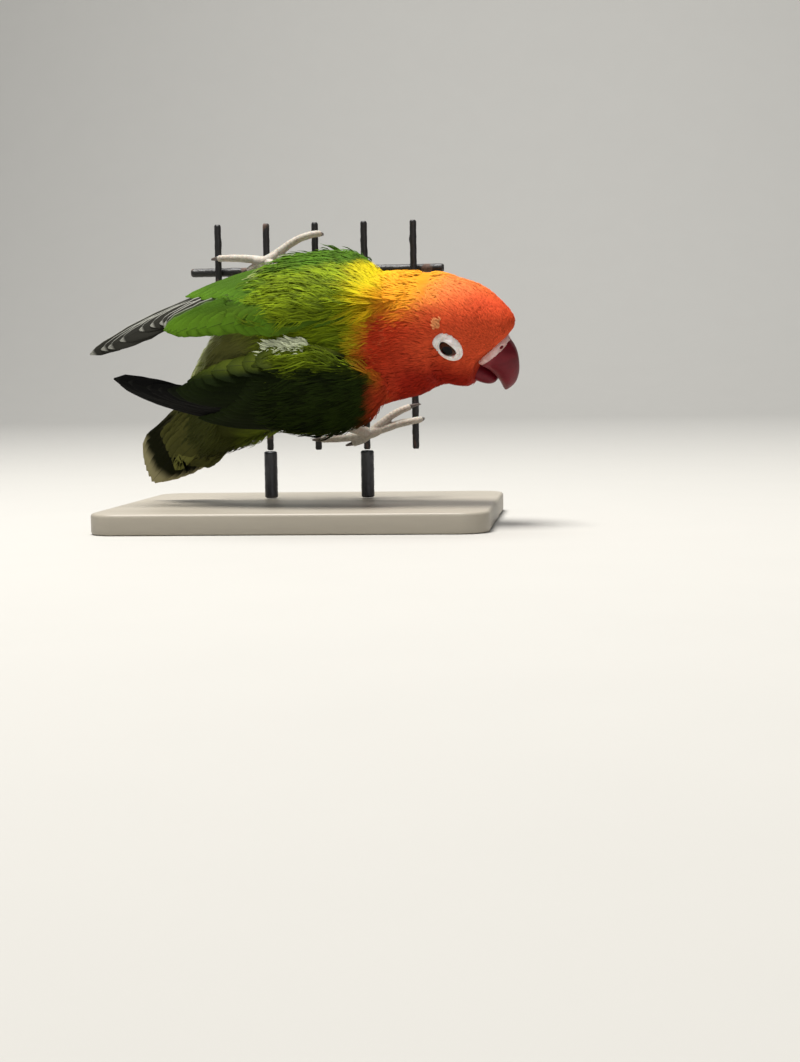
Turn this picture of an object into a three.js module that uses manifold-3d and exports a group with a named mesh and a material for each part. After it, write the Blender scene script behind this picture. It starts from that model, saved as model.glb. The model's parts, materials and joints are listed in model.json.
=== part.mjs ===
// A lovebird with a white eye ring, clinging sideways to a short cut panel of black wires on a plain stand.
// Millimetres, +Z up. The bird's head points to +X and its back faces -Y, and the wires stand behind its belly.
// The origin is the centre of the underside of the stand's base.
import * as THREE from "three";
import { mergeVertices } from "three/addons/utils/BufferGeometryUtils.js";
import Module from "manifold-3d";

const wasm = await Module();
wasm.setup();

// Driving dimensions
const GAP = 0.3; // between pieces that touch
const SKIN_GAP = 0.36; // the same between curved faces, whose facets cut the corner
const WELD = 0.005; // corners nearer than this are one
const BASE = { length: 112, depth: 92, height: 6, corner: 8, chamfer: 0.8 };
const WIRE = { diameter: 2, pitch: 15, plane: 14, first: -29.3, count: 5, bottom: 21, top: 90 };
const CROSSBAR = { diameter: 2.6, height: 75.7, overhang: 9 };
const ROD = { diameter: 4, wires: [1, 3] };
const HEAD = { yaw: 8, pitch: 25, roll: 36, centre: [48.4, -21.4, 56.2] };
const EYE = { forward: 0.3, up: 1.3, side: 12.3, radius: 3.3, sunk: 2.2 };
const LID = { long: 4.9, short: 3.9, height: 0.95, openLong: 3, openShort: 2, slant: -30 };
const TOE = { radius: 1.2, tip: 0.95 };
const VANE = { thickness: 0.55, flight: 13, greater: 7, median: 6 };
const CLAW = { radius: 0.66, tip: 0.2 };

const UP = new THREE.Vector3(0, 0, 1);
const TO_BACK = new THREE.Vector3(0, -1, 0);

// Vectors and solids

function vec(values) {
  return new THREE.Vector3(...values);
}

function mix(a, b, share) {
  return a + (b - a) * share;
}

// A repeatable draw between -1 and 1 for the small differences between feathers.
function drawFrom(seed) {
  let state = seed;
  return () => {
    state = (state * 16807) % 2147483647;
    return (state / 2147483647) * 2 - 1;
  };
}

function solid(geometry) {
  const bare = geometry.clone();
  bare.deleteAttribute("normal");
  bare.deleteAttribute("uv");
  const merged = mergeVertices(bare, 1e-4);
  return new wasm.Manifold(
    new wasm.Mesh({
      numProp: 3,
      vertProperties: merged.attributes.position.array,
      triVerts: new Uint32Array(merged.index.array),
    }),
  );
}

function join(solids) {
  return solids.reduce((sum, piece) => sum.add(piece));
}

// The largest closed surface of a solid, which drops the scraps that a cut leaves.
function largest(body) {
  return body.decompose().sort((a, b) => b.volume() - a.volume())[0];
}

// Corners that a cut left closer than WELD are made one, and the slivers between them go.
function meshOf(name, body, material) {
  const { vertProperties, triVerts } = largest(body).getMesh();
  const cut = new THREE.BufferGeometry();
  cut.setAttribute("position", new THREE.BufferAttribute(vertProperties, 3));
  cut.setIndex(new THREE.BufferAttribute(triVerts, 1));
  const geometry = mergeVertices(cut, WELD);
  const corners = Array.from(geometry.index.array);
  const triangles = corners.flatMap((_, i) => (i % 3 ? [] : [corners.slice(i, i + 3)]));
  geometry.setIndex(triangles.filter((triangle) => new Set(triangle).size === 3).flat());
  geometry.computeVertexNormals();
  const mesh = new THREE.Mesh(geometry, material);
  mesh.name = name;
  return mesh;
}

function finish(colour, roughness) {
  return new THREE.MeshStandardMaterial({ color: colour, roughness, metalness: 0 });
}

// A smooth body along stations. Each station is a centre and two half sizes: across, and towards the lie
// direction. The ends are rounded, and grow makes the whole body larger for cutting its neighbours.
function makeLoft(stations, lie, fullness = 5) {
  const spine = new THREE.CatmullRomCurve3(stations.map((s) => vec(s.at)), false, "centripetal");
  const sizes = new THREE.CatmullRomCurve3(stations.map((s) => vec([...s.half, 0])));
  const across = new THREE.Vector3();
  return {
    point(share, x, y, grow = 0) {
      const at = spine.getPoint(share);
      const along = spine.getTangent(share);
      const size = sizes.getPoint(share);
      const round = Math.pow(1 - Math.pow(Math.abs(2 * share - 1), fullness), 1 / 2.2);
      across.crossVectors(along, lie).normalize();
      const towards = new THREE.Vector3().crossVectors(across, along);
      at.addScaledVector(across, x * round * (size.x + grow));
      at.addScaledVector(towards, y * round * (size.y + grow));
      return at.addScaledVector(along, (share - 0.5) * 2 * grow);
    },
  };
}

function loftSolid(loft, around, along, grow = 0) {
  const ball = new THREE.SphereGeometry(1, around, along);
  const place = ball.attributes.position;
  for (let i = 0; i < place.count; i++) {
    const y = THREE.MathUtils.clamp(place.getY(i), -1, 1);
    const share = Math.acos(y) / Math.PI;
    const angle = Math.atan2(place.getZ(i), place.getX(i));
    const pole = Math.abs(y) > 0.99999 ? 0 : 1;
    const point = loft.point(share, pole * Math.cos(angle), pole * Math.sin(angle), grow);
    place.setXYZ(i, point.x, point.y, point.z);
  }
  const made = solid(ball);
  return made.volume() < 0 ? solid(turned(ball)) : made;
}

// The same faces wound the other way, for a form that the mapping turned inside out.
function turned(geometry) {
  const index = geometry.index.array;
  for (let i = 0; i < index.length; i += 3) {
    const first = index[i];
    index[i] = index[i + 1];
    index[i + 1] = first;
  }
  return geometry;
}

// A block far larger than the bird on the side of a plane that its normal points to.
function halfSpace(point, normal) {
  const size = 300;
  const block = new THREE.BoxGeometry(size, size, size);
  block.translate(0, 0, size / 2);
  block.applyQuaternion(new THREE.Quaternion().setFromUnitVectors(UP, normal));
  block.translate(point.x, point.y, point.z);
  return solid(block);
}

// A thin curved blade. path(share) gives a point on its middle line with its across and normal directions,
// and the blade narrows by its own outline to a rounded tip. Both faces are split into triangles alike.
function blade(path, width, thickness, steps, outline) {
  const box = new THREE.BoxGeometry(1, 1, 1, 1, steps, 1);
  const place = box.attributes.position;
  for (let i = 0; i < place.count; i++) {
    const share = Math.pow(place.getY(i) + 0.5, 0.75);
    const { at, across, normal } = path(share);
    at.addScaledVector(across, place.getX(i) * width * outline(share));
    at.addScaledVector(normal, place.getZ(i) * thickness * mix(1, 0.7, share));
    place.setXYZ(i, at.x, at.y, at.z);
  }
  const back = box.groups[5];
  const index = box.index.array;
  for (let i = back.start; i < back.start + back.count; i += 6) {
    const [a, b, d, , c] = index.slice(i, i + 5);
    index.set([a, b, c, a, c, d], i);
  }
  const made = solid(box);
  return made.volume() < 0 ? solid(turned(box)) : made;
}

// How wide a feather is along its length: narrow at its root, full, and rounded from the share where it tapers.
function featherOutline(taper) {
  return (share) => {
    const root = mix(0.5, 1, Math.min(1, share * 3));
    const past = Math.max(0, (share - taper) / (1.01 - taper));
    return root * Math.max(0.16, Math.sqrt(Math.max(0, 1 - past * past)));
  };
}

// The body's flesh: one form from the neck to the root of the tail, and the head on it

const BODY = makeLoft(
  [
    { at: [46, -19.5, 55.4], half: [15.2, 12.5] },
    { at: [38, -18.5, 55.6], half: [20.8, 16.6] },
    { at: [29, -17, 54.2], half: [19.6, 16.5] },
    { at: [19.3, -15, 53.2], half: [20.4, 17.6] },
    { at: [9, -13.5, 52.3], half: [21.4, 18.2] },
    { at: [0, -12, 51], half: [21, 17.6] },
    { at: [-8, -10.5, 47.5], half: [19.6, 16.4] },
    { at: [-15.5, -7.5, 42.2], half: [17.4, 13.6] },
    { at: [-22.7, -4, 36], half: [15, 10.4] },
    { at: [-30.2, -1, 29.7], half: [11.6, 7.4] },
    { at: [-36, 1.2, 24], half: [8.6, 4.6] },
    { at: [-40, 3, 19.5], half: [5, 2.4] },
  ],
  TO_BACK,
);

const toRadians = THREE.MathUtils.degToRad;
const headForward = new THREE.Vector3(
  Math.cos(toRadians(HEAD.pitch)) * Math.cos(toRadians(HEAD.yaw)),
  -Math.cos(toRadians(HEAD.pitch)) * Math.sin(toRadians(HEAD.yaw)),
  -Math.sin(toRadians(HEAD.pitch)),
);
const levelSide = new THREE.Vector3().crossVectors(headForward, UP).normalize();
const headUp = new THREE.Vector3()
  .crossVectors(levelSide, headForward)
  .applyAxisAngle(headForward, toRadians(HEAD.roll))
  .normalize();
const headSide = new THREE.Vector3().crossVectors(headForward, headUp);
const headCentre = vec(HEAD.centre);

// A point given forward, up and to the bird's right of the middle between its eyes.
function inHead(forward, up, side) {
  return headCentre
    .clone()
    .addScaledVector(headForward, forward)
    .addScaledVector(headUp, up)
    .addScaledVector(headSide, side);
}

// A section of the head or bill: how far forward, its top and bottom, and half its width.
function headStation(forward, top, bottom, halfWidth) {
  return {
    at: inHead(forward, (top + bottom) / 2, 0).toArray(),
    half: [halfWidth, (top - bottom) / 2],
  };
}

const SKULL = makeLoft(
  [
    headStation(-19, 10.6, -14.5, 11.5),
    headStation(-13, 13.2, -17.4, 13),
    headStation(-7, 13.9, -18.6, 13.4),
    headStation(-1, 14.1, -18.6, 13.2),
    headStation(5, 13.6, -17, 11.6),
    headStation(10.8, 11.4, -14, 9),
    headStation(15.4, 4.6, -9, 5.8),
  ],
  headUp,
  3,
);

const BILL = makeLoft(
  [
    { at: inHead(6.6, -2.2, 0).toArray(), half: [5.6, 5.6] },
    { at: inHead(11.2, -3.3, 0).toArray(), half: [5.5, 5.4] },
    { at: inHead(14.2, -6.1, 0).toArray(), half: [4.2, 4.3] },
    { at: inHead(16, -9.8, 0).toArray(), half: [2.7, 2.7] },
    { at: inHead(16.3, -14.3, 0).toArray(), half: [0.7, 0.8] },
  ],
  headUp,
  8,
);

const LOWER_BILL = makeLoft(
  [
    { at: inHead(4, -9.9, 0).toArray(), half: [4.4, 3] },
    { at: inHead(8.6, -11.2, 0).toArray(), half: [4.3, 2.8] },
    { at: inHead(13.4, -12, 0).toArray(), half: [2.6, 1.7] },
  ],
  headUp,
  6,
);

const flesh = join([loftSolid(BODY, 24, 26), loftSolid(SKULL, 24, 18)]);
const fleshGrown = join([loftSolid(BODY, 24, 26, SKIN_GAP), loftSolid(SKULL, 24, 18, SKIN_GAP)]);

// Where the flesh is parted: a point and the direction towards the head
const HEAD_CUT = { at: vec([38.5, -19, 56]), towards: vec([0.95, -0.1, 0.12]).normalize() };
const NECK_CUT = { at: vec([29, -17, 54]), towards: vec([0.98, -0.15, 0.12]).normalize() };
const TAIL_CUT = { at: vec([-31, -0.6, 29]), towards: vec([0.7, -0.25, 0.65]).normalize() };

function ahead(cut) {
  return halfSpace(cut.at.clone().addScaledVector(cut.towards, GAP / 2), cut.towards);
}

function behind(cut) {
  const away = cut.towards.clone().negate();
  return halfSpace(cut.at.clone().addScaledVector(away, GAP / 2), away);
}

// The eyes sit in sockets under lids with a slanting almond opening.

function eyePlace(side) {
  const onSkin = inHead(EYE.forward, EYE.up, side * EYE.side);
  const out = headSide.clone().multiplyScalar(side);
  out.addScaledVector(headForward, 0.2).normalize();
  return { out, centre: onSkin.addScaledVector(out, -EYE.sunk) };
}

function ballAt(place, radii, along, around = 16, rings = 10) {
  const ball = new THREE.SphereGeometry(1, around, rings);
  const side = new THREE.Vector3().crossVectors(headUp, place.out).normalize();
  const up = new THREE.Vector3().crossVectors(place.out, side);
  side.applyAxisAngle(place.out, along);
  up.applyAxisAngle(place.out, along);
  ball.applyMatrix4(
    new THREE.Matrix4()
      .makeBasis(
        side.clone().multiplyScalar(radii[0]),
        up.clone().multiplyScalar(radii[1]),
        place.out.clone().multiplyScalar(radii[2]),
      )
      .setPosition(place.centre),
  );
  return solid(ball);
}

function socket(side) {
  const radius = EYE.radius + GAP;
  return ballAt(eyePlace(side), [radius, radius, radius], 0);
}

function lids(side) {
  const place = eyePlace(side);
  const shell = ballAt(place, [LID.long, LID.short, EYE.radius + LID.height], toRadians(side * LID.slant));
  const opening = { ...place, centre: place.centre.clone().addScaledVector(place.out, 3) };
  return shell
    .subtract(socket(side))
    .subtract(ballAt(opening, [LID.openLong, LID.openShort, 4], toRadians(side * LID.slant), 14, 6));
}

function eye(side) {
  const radius = EYE.radius;
  return ballAt(eyePlace(side), [radius, radius, radius], 0, 14, 8);
}

// The cere is a slanting band of the bill between the feathers of the face and the horn.
const alongBill = headForward.clone().addScaledVector(headUp, -0.6).normalize();
const billCut = { at: inHead(11.6, -1.3, 0), towards: alongBill };
const faceCut = { at: inHead(9.3, -1.3, 0), towards: alongBill };
const chinCut = { at: inHead(8.4, -12, 0), towards: headForward };
const NOSTRIL = { forward: 12.7, up: 1.5, side: 2.6, radius: 0.6 };
const billWhole = loftSolid(BILL, 16, 12);
const lowerWhole = loftSolid(LOWER_BILL, 12, 7).subtract(loftSolid(BILL, 16, 12, SKIN_GAP));
const ceredBill = billWhole.intersect(behind(billCut));
const hookedBill = billWhole.intersect(ahead(billCut));

function nostril(side) {
  const ball = new THREE.SphereGeometry(NOSTRIL.radius, 8, 6);
  const place = inHead(NOSTRIL.forward, NOSTRIL.up, side * NOSTRIL.side);
  ball.translate(place.x, place.y, place.z);
  return solid(ball);
}

function headSolid() {
  let head = flesh.intersect(ahead(HEAD_CUT));
  for (const side of [-1, 1]) head = head.subtract(socket(side)).add(lids(side));
  return head
    .subtract(ahead(faceCut).intersect(ahead(chinCut)))
    .subtract(loftSolid(BILL, 16, 12, SKIN_GAP))
    .subtract(loftSolid(LOWER_BILL, 12, 7, SKIN_GAP));
}

// Wings: a carrier surface between three curves, with the arm and the feathers laid on it

const LEFT_WING = {
  side: 1,
  seed: 11,
  tips: [
    [1, 0.1], [0.94, 0.22], [0.86, 0.2], [0.77, 0.3], [0.755, 0.57], [0.66, 0.74], [0.56, 0.82], [0.43, 0.96],
  ],
  lead: [
    [30, -20, 74], [25, -14.5, 78], [15, -11.5, 80.2], [4.5, -10.5, 79.9], [-10, -11, 77.5],
    [-27.6, -13, 70.6], [-45, -16, 62], [-62, -19, 51.6],
  ],
  middle: [[29.5, -31.5, 67], [7.7, -27, 69.6], [-13.4, -26, 65.8], [-31.5, -23, 59.6], [-58, -20, 48.2]],
  inner: [[27, -34.5, 60], [8.4, -33.2, 59], [-11.3, -31, 55.6], [-32.4, -26, 51], [-55, -21, 43.6]],
};
const RIGHT_WING = {
  side: -1,
  seed: 23,
  tips: [
    [0.95, 0.06], [0.98, 0.28], [0.9, 0.34], [0.81, 0.4], [0.74, 0.52], [0.69, 0.74], [0.6, 0.9], [0.42, 0.96],
  ],
  lead: [
    [31, -21.5, 33.5], [21.5, -15.5, 28.2], [8, -12.5, 25.2], [-5.3, -11.5, 25.5],
    [-18.4, -12.5, 27.4], [-31, -14.5, 31], [-43.8, -17, 36.2], [-56, -20, 42.6],
  ],
  middle: [
    [29, -30.5, 39.5], [19, -31, 39], [9.5, -29.8, 38.6], [-7, -28, 37.3], [-20, -25.5, 37.5],
    [-32, -23, 39.2], [-56, -21, 45.4],
  ],
  inner: [
    [24, -33.5, 47], [9.2, -34.4, 50.4], [-6, -31.5, 49.8], [-19, -28, 47.8], [-30.4, -25, 46], [-56, -21, 48.2],
  ],
};

function carrier(wing) {
  const [lead, middle, inner] = [wing.lead, wing.middle, wing.inner].map(
    (points) => new THREE.CatmullRomCurve3(points.map(vec)),
  );
  const surface = (along, across) => {
    const place = THREE.MathUtils.clamp(along, 0, 1);
    const [a, b, c] = [lead, middle, inner].map((curve) => curve.getPointAt(place));
    return a
      .multiplyScalar((1 - across) * (1 - 2 * across))
      .addScaledVector(b, 4 * across * (1 - across))
      .addScaledVector(c, across * (2 * across - 1));
  };
  const step = 0.02;
  const normal = (along, across) => {
    const back = Math.min(along, 1 - step);
    const lengthways = surface(back + step, across).sub(surface(back, across));
    const crossways = surface(along, across + step).sub(surface(along, across - step));
    return lengthways.cross(crossways).multiplyScalar(wing.side).normalize();
  };
  return { surface, normal };
}

// The arm: a rounded plate from the bend of the wing to where the flight feathers leave it.
function wingPlate(wing, from, to, outer, inner) {
  const { surface, normal } = carrier(wing);
  const ball = new THREE.SphereGeometry(1, 18, 12);
  const place = ball.attributes.position;
  for (let i = 0; i < place.count; i++) {
    const [x, y, z] = [place.getX(i), place.getY(i), place.getZ(i)];
    const square = (value) => Math.sign(value) * Math.pow(Math.abs(value), 0.75);
    const along = mix(from, to, (1 + square(x)) / 2);
    const across = mix(0.02, 0.98, (1 + square(y)) / 2);
    const at = surface(along, across);
    at.addScaledVector(normal(along, across), z > 0 ? z * outer : z * inner);
    place.setXYZ(i, at.x, at.y, at.z);
  }
  const made = solid(ball);
  return made.volume() < 0 ? solid(turned(ball)) : made;
}

// A tier of overlapping feathers on a wing, from the leading edge inwards. Roots and tips follow two lines of
// [along, across] shares, and each feather leans with its outer edge raised over its outer neighbour.
function wingTier(wing, tier, draw) {
  const { surface, normal } = carrier(wing);
  const lineOf = (points) => new THREE.SplineCurve(points.map((point) => new THREE.Vector2(...point)));
  const [roots, tips] = [lineOf(tier.roots), lineOf(tier.tips)];
  return Array.from({ length: tier.count }, (_, i) => {
    const rank = i / (tier.count - 1);
    const [root, tip] = [roots.getPoint(rank), tips.getPoint(rank)];
    tip.x += 0.006 * draw();
    const lean = toRadians(mix(...tier.lean, rank));
    const width = mix(...tier.width, rank) * (1 + 0.04 * draw());
    const path = (share) => {
      const along = mix(root.x, tip.x, share);
      const across = mix(root.y, tip.y, share);
      const out = normal(along, across);
      const forwards = surface(Math.min(1, along + 0.02), mix(root.y, tip.y, Math.min(1, share + 0.03)));
      const lengthways = forwards.sub(surface(along - 0.001, across)).normalize();
      const inwards = new THREE.Vector3().crossVectors(out, lengthways).multiplyScalar(wing.side).normalize();
      const lift = mix(tier.rootLift(rank), tier.tipLift(rank), share);
      const at = surface(along, across).addScaledVector(out, lift);
      return {
        at,
        across: inwards.clone().multiplyScalar(Math.cos(lean)).addScaledVector(out, -Math.sin(lean)),
        normal: out.clone().multiplyScalar(Math.cos(lean)).addScaledVector(inwards, Math.sin(lean)),
      };
    };
    return blade(path, width, VANE.thickness, tier.steps, featherOutline(mix(...tier.taper, rank)));
  });
}

// The first six flight feathers are the long primaries of the hand, and the rest the secondaries of the arm.
function wingTiers(wing) {
  return [
    {
      count: VANE.flight, steps: 4, width: [6.8, 8.2], lean: [17, 24], taper: [0.62, 0.82],
      roots: [[0.34, 0.12], [0.12, 0.88]], tips: wing.tips,
      rootLift: (rank) => mix(-3, -0.8, rank),
      tipLift: (rank) => mix(-0.7, 2, rank),
    },
    {
      count: VANE.greater, steps: 3, width: [5.8, 7.2], lean: [15, 19], taper: [0.6, 0.6],
      roots: [[0.3, 0.12], [0.14, 0.86]], tips: [[0.6, 0.09], [0.52, 0.3], [0.46, 0.6], [0.37, 0.95]],
      rootLift: (rank) => mix(-1.8, -0.4, rank),
      tipLift: (rank) => mix(0.4, 2.3, rank),
    },
    {
      count: VANE.median, steps: 3, width: [5.6, 6.6], lean: [15, 19], taper: [0.6, 0.6],
      roots: [[0.16, 0.14], [0.06, 0.84]], tips: [[0.37, 0.1], [0.32, 0.5], [0.25, 0.92]],
      rootLift: (rank) => mix(-0.9, -0.2, rank),
      tipLift: (rank) => mix(1.1, 2.6, rank),
    },
  ];
}

function wingSolid(wing) {
  const draw = drawFrom(wing.seed);
  const arm = wingPlate(wing, 0, 0.48, 0.4, 5.5);
  const feathers = wingTiers(wing).flatMap((tier) => wingTier(wing, tier, draw));
  return join([arm, ...feathers]).subtract(fleshGrown);
}

// Tail: a graduated, nearly closed fan of feathers from under the rump

const TAIL = { root: [-25, -3.6, 36.4], tip: [-50.2, 9, 11.6], pairs: 6, width: 6.4, layer: 0.62, spread: 1.3 };
const TAIL_COVERTS = { upper: 6, under: 4, width: 6 };
const tailAlong = vec(TAIL.tip).sub(vec(TAIL.root)).normalize();
const tailAcross = new THREE.Vector3().crossVectors(tailAlong, vec([0.32, -0.9, -0.1])).normalize();
const tailUp = new THREE.Vector3().crossVectors(tailAcross, tailAlong);

// One feather of the tail. It starts on or under the rump, offset to one side and lifted or lowered there, and
// runs to its length at an angle to the tail's own line, leaning and drooping as it goes.
function tailFeather({ angle, offset, lift, length, start, width, lean, droop }) {
  const turn = toRadians(angle);
  const along = tailAlong.clone().multiplyScalar(Math.cos(turn)).addScaledVector(tailAcross, Math.sin(turn));
  const across = new THREE.Vector3().crossVectors(tailUp, along).normalize();
  const tilt = toRadians(lean);
  const path = (share) => ({
    at: vec(TAIL.root)
      .addScaledVector(tailAcross, offset)
      .addScaledVector(along, mix(start, length, share))
      .addScaledVector(tailUp, lift - droop * share * share),
    across: across.clone().multiplyScalar(Math.cos(tilt)).addScaledVector(tailUp, Math.sin(tilt)),
    normal: tailUp.clone().multiplyScalar(Math.cos(tilt)).addScaledVector(across, -Math.sin(tilt)),
  });
  return blade(path, width, VANE.thickness, 4, featherOutline(0.72));
}

function tailSolid() {
  const draw = drawFrom(47);
  const full = vec(TAIL.root).distanceTo(vec(TAIL.tip));
  const feathers = [];
  for (const side of [-1, 1]) {
    for (let pair = 0; pair < TAIL.pairs; pair++) {
      const rank = pair + (side < 0 ? 0.5 : 0);
      feathers.push(
        tailFeather({
          angle: side * TAIL.spread * pair, offset: side * (0.6 + 0.75 * pair), lift: -TAIL.layer * rank * 1.02,
          start: 0, length: full * (1 - 0.034 * pair - 0.004 * pair * pair) + 0.3 * draw(),
          width: TAIL.width, lean: side * 9, droop: 0,
        }),
      );
    }
  }
  for (let i = 0; i < TAIL_COVERTS.upper; i++) {
    const rank = i - (TAIL_COVERTS.upper - 1) / 2;
    feathers.push(
      tailFeather({
        angle: 1.5 + 1.6 * rank, offset: 2.2 * rank - 1.2, lift: 6.6 - 1.1 * Math.abs(rank), start: 5,
        length: full * (0.69 - 0.05 * Math.abs(rank)), width: TAIL_COVERTS.width, lean: -9 * rank,
        droop: 4.8 - 0.9 * Math.abs(rank),
      }),
    );
  }
  for (let i = 0; i < TAIL_COVERTS.under; i++) {
    const rank = i - (TAIL_COVERTS.under - 1) / 2;
    feathers.push(
      tailFeather({
        angle: 4 + 6 * rank, offset: 3 * rank, lift: -5.4, start: 2,
        length: full * (0.62 - 0.03 * Math.abs(rank)), width: TAIL_COVERTS.width, lean: 0, droop: -0.8,
      }),
    );
  }
  return join([flesh, ...feathers]).intersect(behind(TAIL_CUT));
}

// Legs and feet: two toes point forwards and two backwards, and each hooks round a wire

const WIRES = Array.from({ length: WIRE.count }, (_, i) => WIRE.first + i * WIRE.pitch);
const ON_WIRE = WIRE.plane - WIRE.diameter / 2 - GAP - TOE.radius;

// A toe from the palm along its path, ending round the wire behind which its claw goes.
function toeStations(palm, knuckles) {
  const points = [palm, ...knuckles];
  return points.map((at, i) => {
    const radius = mix(TOE.radius * 1.15, TOE.tip, i / (points.length - 1));
    return { at, half: [radius, radius] };
  });
}

const LEFT_LEG = {
  hip: [2, -6, 62],
  ankle: [-4.5, 2.8, 73],
  palm: [-14, ON_WIRE - 0.5, 78.4],
  toes: [
    {
      path: [[-9.5, ON_WIRE, 81.5], [-4.5, ON_WIRE, 84.6], [0.5, ON_WIRE - 0.2, 86.2], [3, ON_WIRE + 1.3, 86.4]],
      hook: [1.6, 17, 86.2],
    },
    {
      path: [[-9.5, ON_WIRE, 79.2], [-5, ON_WIRE, 79.4], [0.6, ON_WIRE - 0.2, 79.4], [3, ON_WIRE + 1.4, 79.2]],
      hook: [1.6, 17, 79],
    },
    {
      path: [[-18.5, ON_WIRE, 79.2], [-24, ON_WIRE, 79.6], [-29.2, ON_WIRE - 0.1, 79.6]],
      hook: [-31.2, 14.6, 79.4],
    },
    {
      path: [[-17, ON_WIRE + 0.2, 77.2], [-20, ON_WIRE + 0.6, 75.6]],
      hook: [-22.4, 14.2, 75.2],
    },
  ],
};
const RIGHT_LEG = {
  hip: [11, -6, 38],
  ankle: [9.5, 3.6, 29],
  palm: [17, ON_WIRE - 0.5, 26],
  toes: [
    {
      path: [[21, ON_WIRE, 27.2], [25.5, ON_WIRE, 28.6], [30.4, ON_WIRE - 0.2, 29.6], [33, ON_WIRE + 1.2, 30]],
      hook: [31.8, 17, 30],
    },
    {
      path: [[20.6, ON_WIRE, 29], [25, ON_WIRE, 32], [29.6, ON_WIRE, 34]],
      hook: [32.4, 15, 34.4],
    },
    {
      path: [[12.5, ON_WIRE, 25], [7, ON_WIRE, 24.4], [1.6, ON_WIRE - 0.2, 24.2]],
      hook: [-1.4, 14.6, 24],
    },
    {
      path: [[14.6, ON_WIRE + 0.2, 24], [11.4, ON_WIRE + 0.6, 22.8]],
      hook: [9, 14.4, 22.4],
    },
  ],
};

function legSolids(leg) {
  const thigh = makeLoft(
    [
      { at: leg.hip, half: [7.5, 6.5] },
      { at: vec(leg.hip).lerp(vec(leg.ankle), 0.6).toArray(), half: [5.4, 5] },
      { at: leg.ankle, half: [2.4, 2.4] },
    ],
    TO_BACK,
    4,
  );
  const shin = makeLoft(
    [
      { at: vec(leg.hip).lerp(vec(leg.ankle), 0.8).toArray(), half: [1.5, 1.5] },
      { at: leg.ankle, half: [1.6, 1.6] },
      { at: leg.palm, half: [1.5, 1.5] },
    ],
    TO_BACK,
    8,
  );
  const foot = join([
    loftSolid(makeLoft(toeStations(leg.toes[0].path[0], [leg.palm, leg.toes[2].path[0]]), UP, 4), 8, 6),
    ...leg.toes.map((toe) => loftSolid(makeLoft(toeStations(leg.palm, toe.path), UP, 10), 9, 8)),
  ]);
  const thighCut = loftSolid(thigh, 14, 8, SKIN_GAP);
  const shinCut = loftSolid(shin, 8, 8, SKIN_GAP);
  return {
    thigh: loftSolid(thigh, 14, 8).subtract(fleshGrown),
    shank: loftSolid(shin, 8, 8).subtract(thighCut),
    foot: foot.subtract(shinCut),
  };
}

// A claw starts 0.3 mm past the toe's end and curves round to its hook.
function clawSolid(toe) {
  const end = vec(toe.path.at(-1));
  const before = vec(toe.path.at(-2));
  const outwards = end.clone().sub(before).normalize();
  const start = end.clone().addScaledVector(outwards, GAP);
  const hook = vec(toe.hook);
  const bend = start.clone().lerp(hook, 0.5).addScaledVector(outwards, 0.9);
  const line = [start, bend, hook].map((at, i) => {
    const radius = mix(CLAW.radius, CLAW.tip, i / 2);
    return { at: at.toArray(), half: [radius, radius] };
  });
  return loftSolid(makeLoft(line, UP, 8), 8, 6);
}

// Perch and stand

function upright(x, bottom, top, diameter) {
  const rod = new THREE.CylinderGeometry(diameter / 2, diameter / 2, top - bottom, 16);
  rod.rotateX(Math.PI / 2);
  rod.translate(x, WIRE.plane, (bottom + top) / 2);
  return solid(rod);
}

function crossbar() {
  const length = (WIRE.count - 1) * WIRE.pitch + 2 * CROSSBAR.overhang;
  const bar = new THREE.CylinderGeometry(CROSSBAR.diameter / 2, CROSSBAR.diameter / 2, length, 16);
  bar.rotateZ(Math.PI / 2);
  const behindWires = WIRE.plane + WIRE.diameter / 2 + GAP + CROSSBAR.diameter / 2;
  bar.translate(WIRE.first + ((WIRE.count - 1) * WIRE.pitch) / 2, behindWires, CROSSBAR.height);
  return solid(bar);
}

function baseSolid() {
  const { length, depth, height, corner, chamfer } = BASE;
  const outline = new THREE.Shape();
  const [x, y] = [length / 2 - chamfer, depth / 2 - chamfer];
  outline.moveTo(-x + corner, -y);
  outline.lineTo(x - corner, -y);
  outline.absarc(x - corner, -y + corner, corner, -Math.PI / 2, 0);
  outline.lineTo(x, y - corner);
  outline.absarc(x - corner, y - corner, corner, 0, Math.PI / 2);
  outline.lineTo(-x + corner, y);
  outline.absarc(-x + corner, y - corner, corner, Math.PI / 2, Math.PI);
  outline.lineTo(-x, -y + corner);
  outline.absarc(-x + corner, -y + corner, corner, Math.PI, Math.PI * 1.5);
  const plate = new THREE.ExtrudeGeometry(outline, {
    depth: height - 2 * chamfer,
    bevelEnabled: true,
    bevelThickness: chamfer,
    bevelSize: chamfer,
    bevelSegments: 1,
    curveSegments: 3,
  });
  plate.translate(0, 0, chamfer);
  return solid(plate);
}

// The model

const bird = new THREE.Group();
const green = finish(0x4f8f24, 0.8);
const darkGreen = finish(0x2d5a1c, 0.8);
const olive = finish(0x8a8f52, 0.85);
const orange = finish(0xf07a2c, 0.8);
const redOrange = finish(0xe85a2a, 0.8);
const crimson = finish(0xa8324a, 0.35);
const pinkWhite = finish(0xe6c8c4, 0.7);
const brown = finish(0x2a1610, 0.1);
const skinPink = finish(0xd2b4ac, 0.75);
const horn = finish(0x3a3230, 0.5);
const black = finish(0x1c1a1a, 0.6);
const stand = finish(0xd8cfc0, 0.7);

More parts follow.
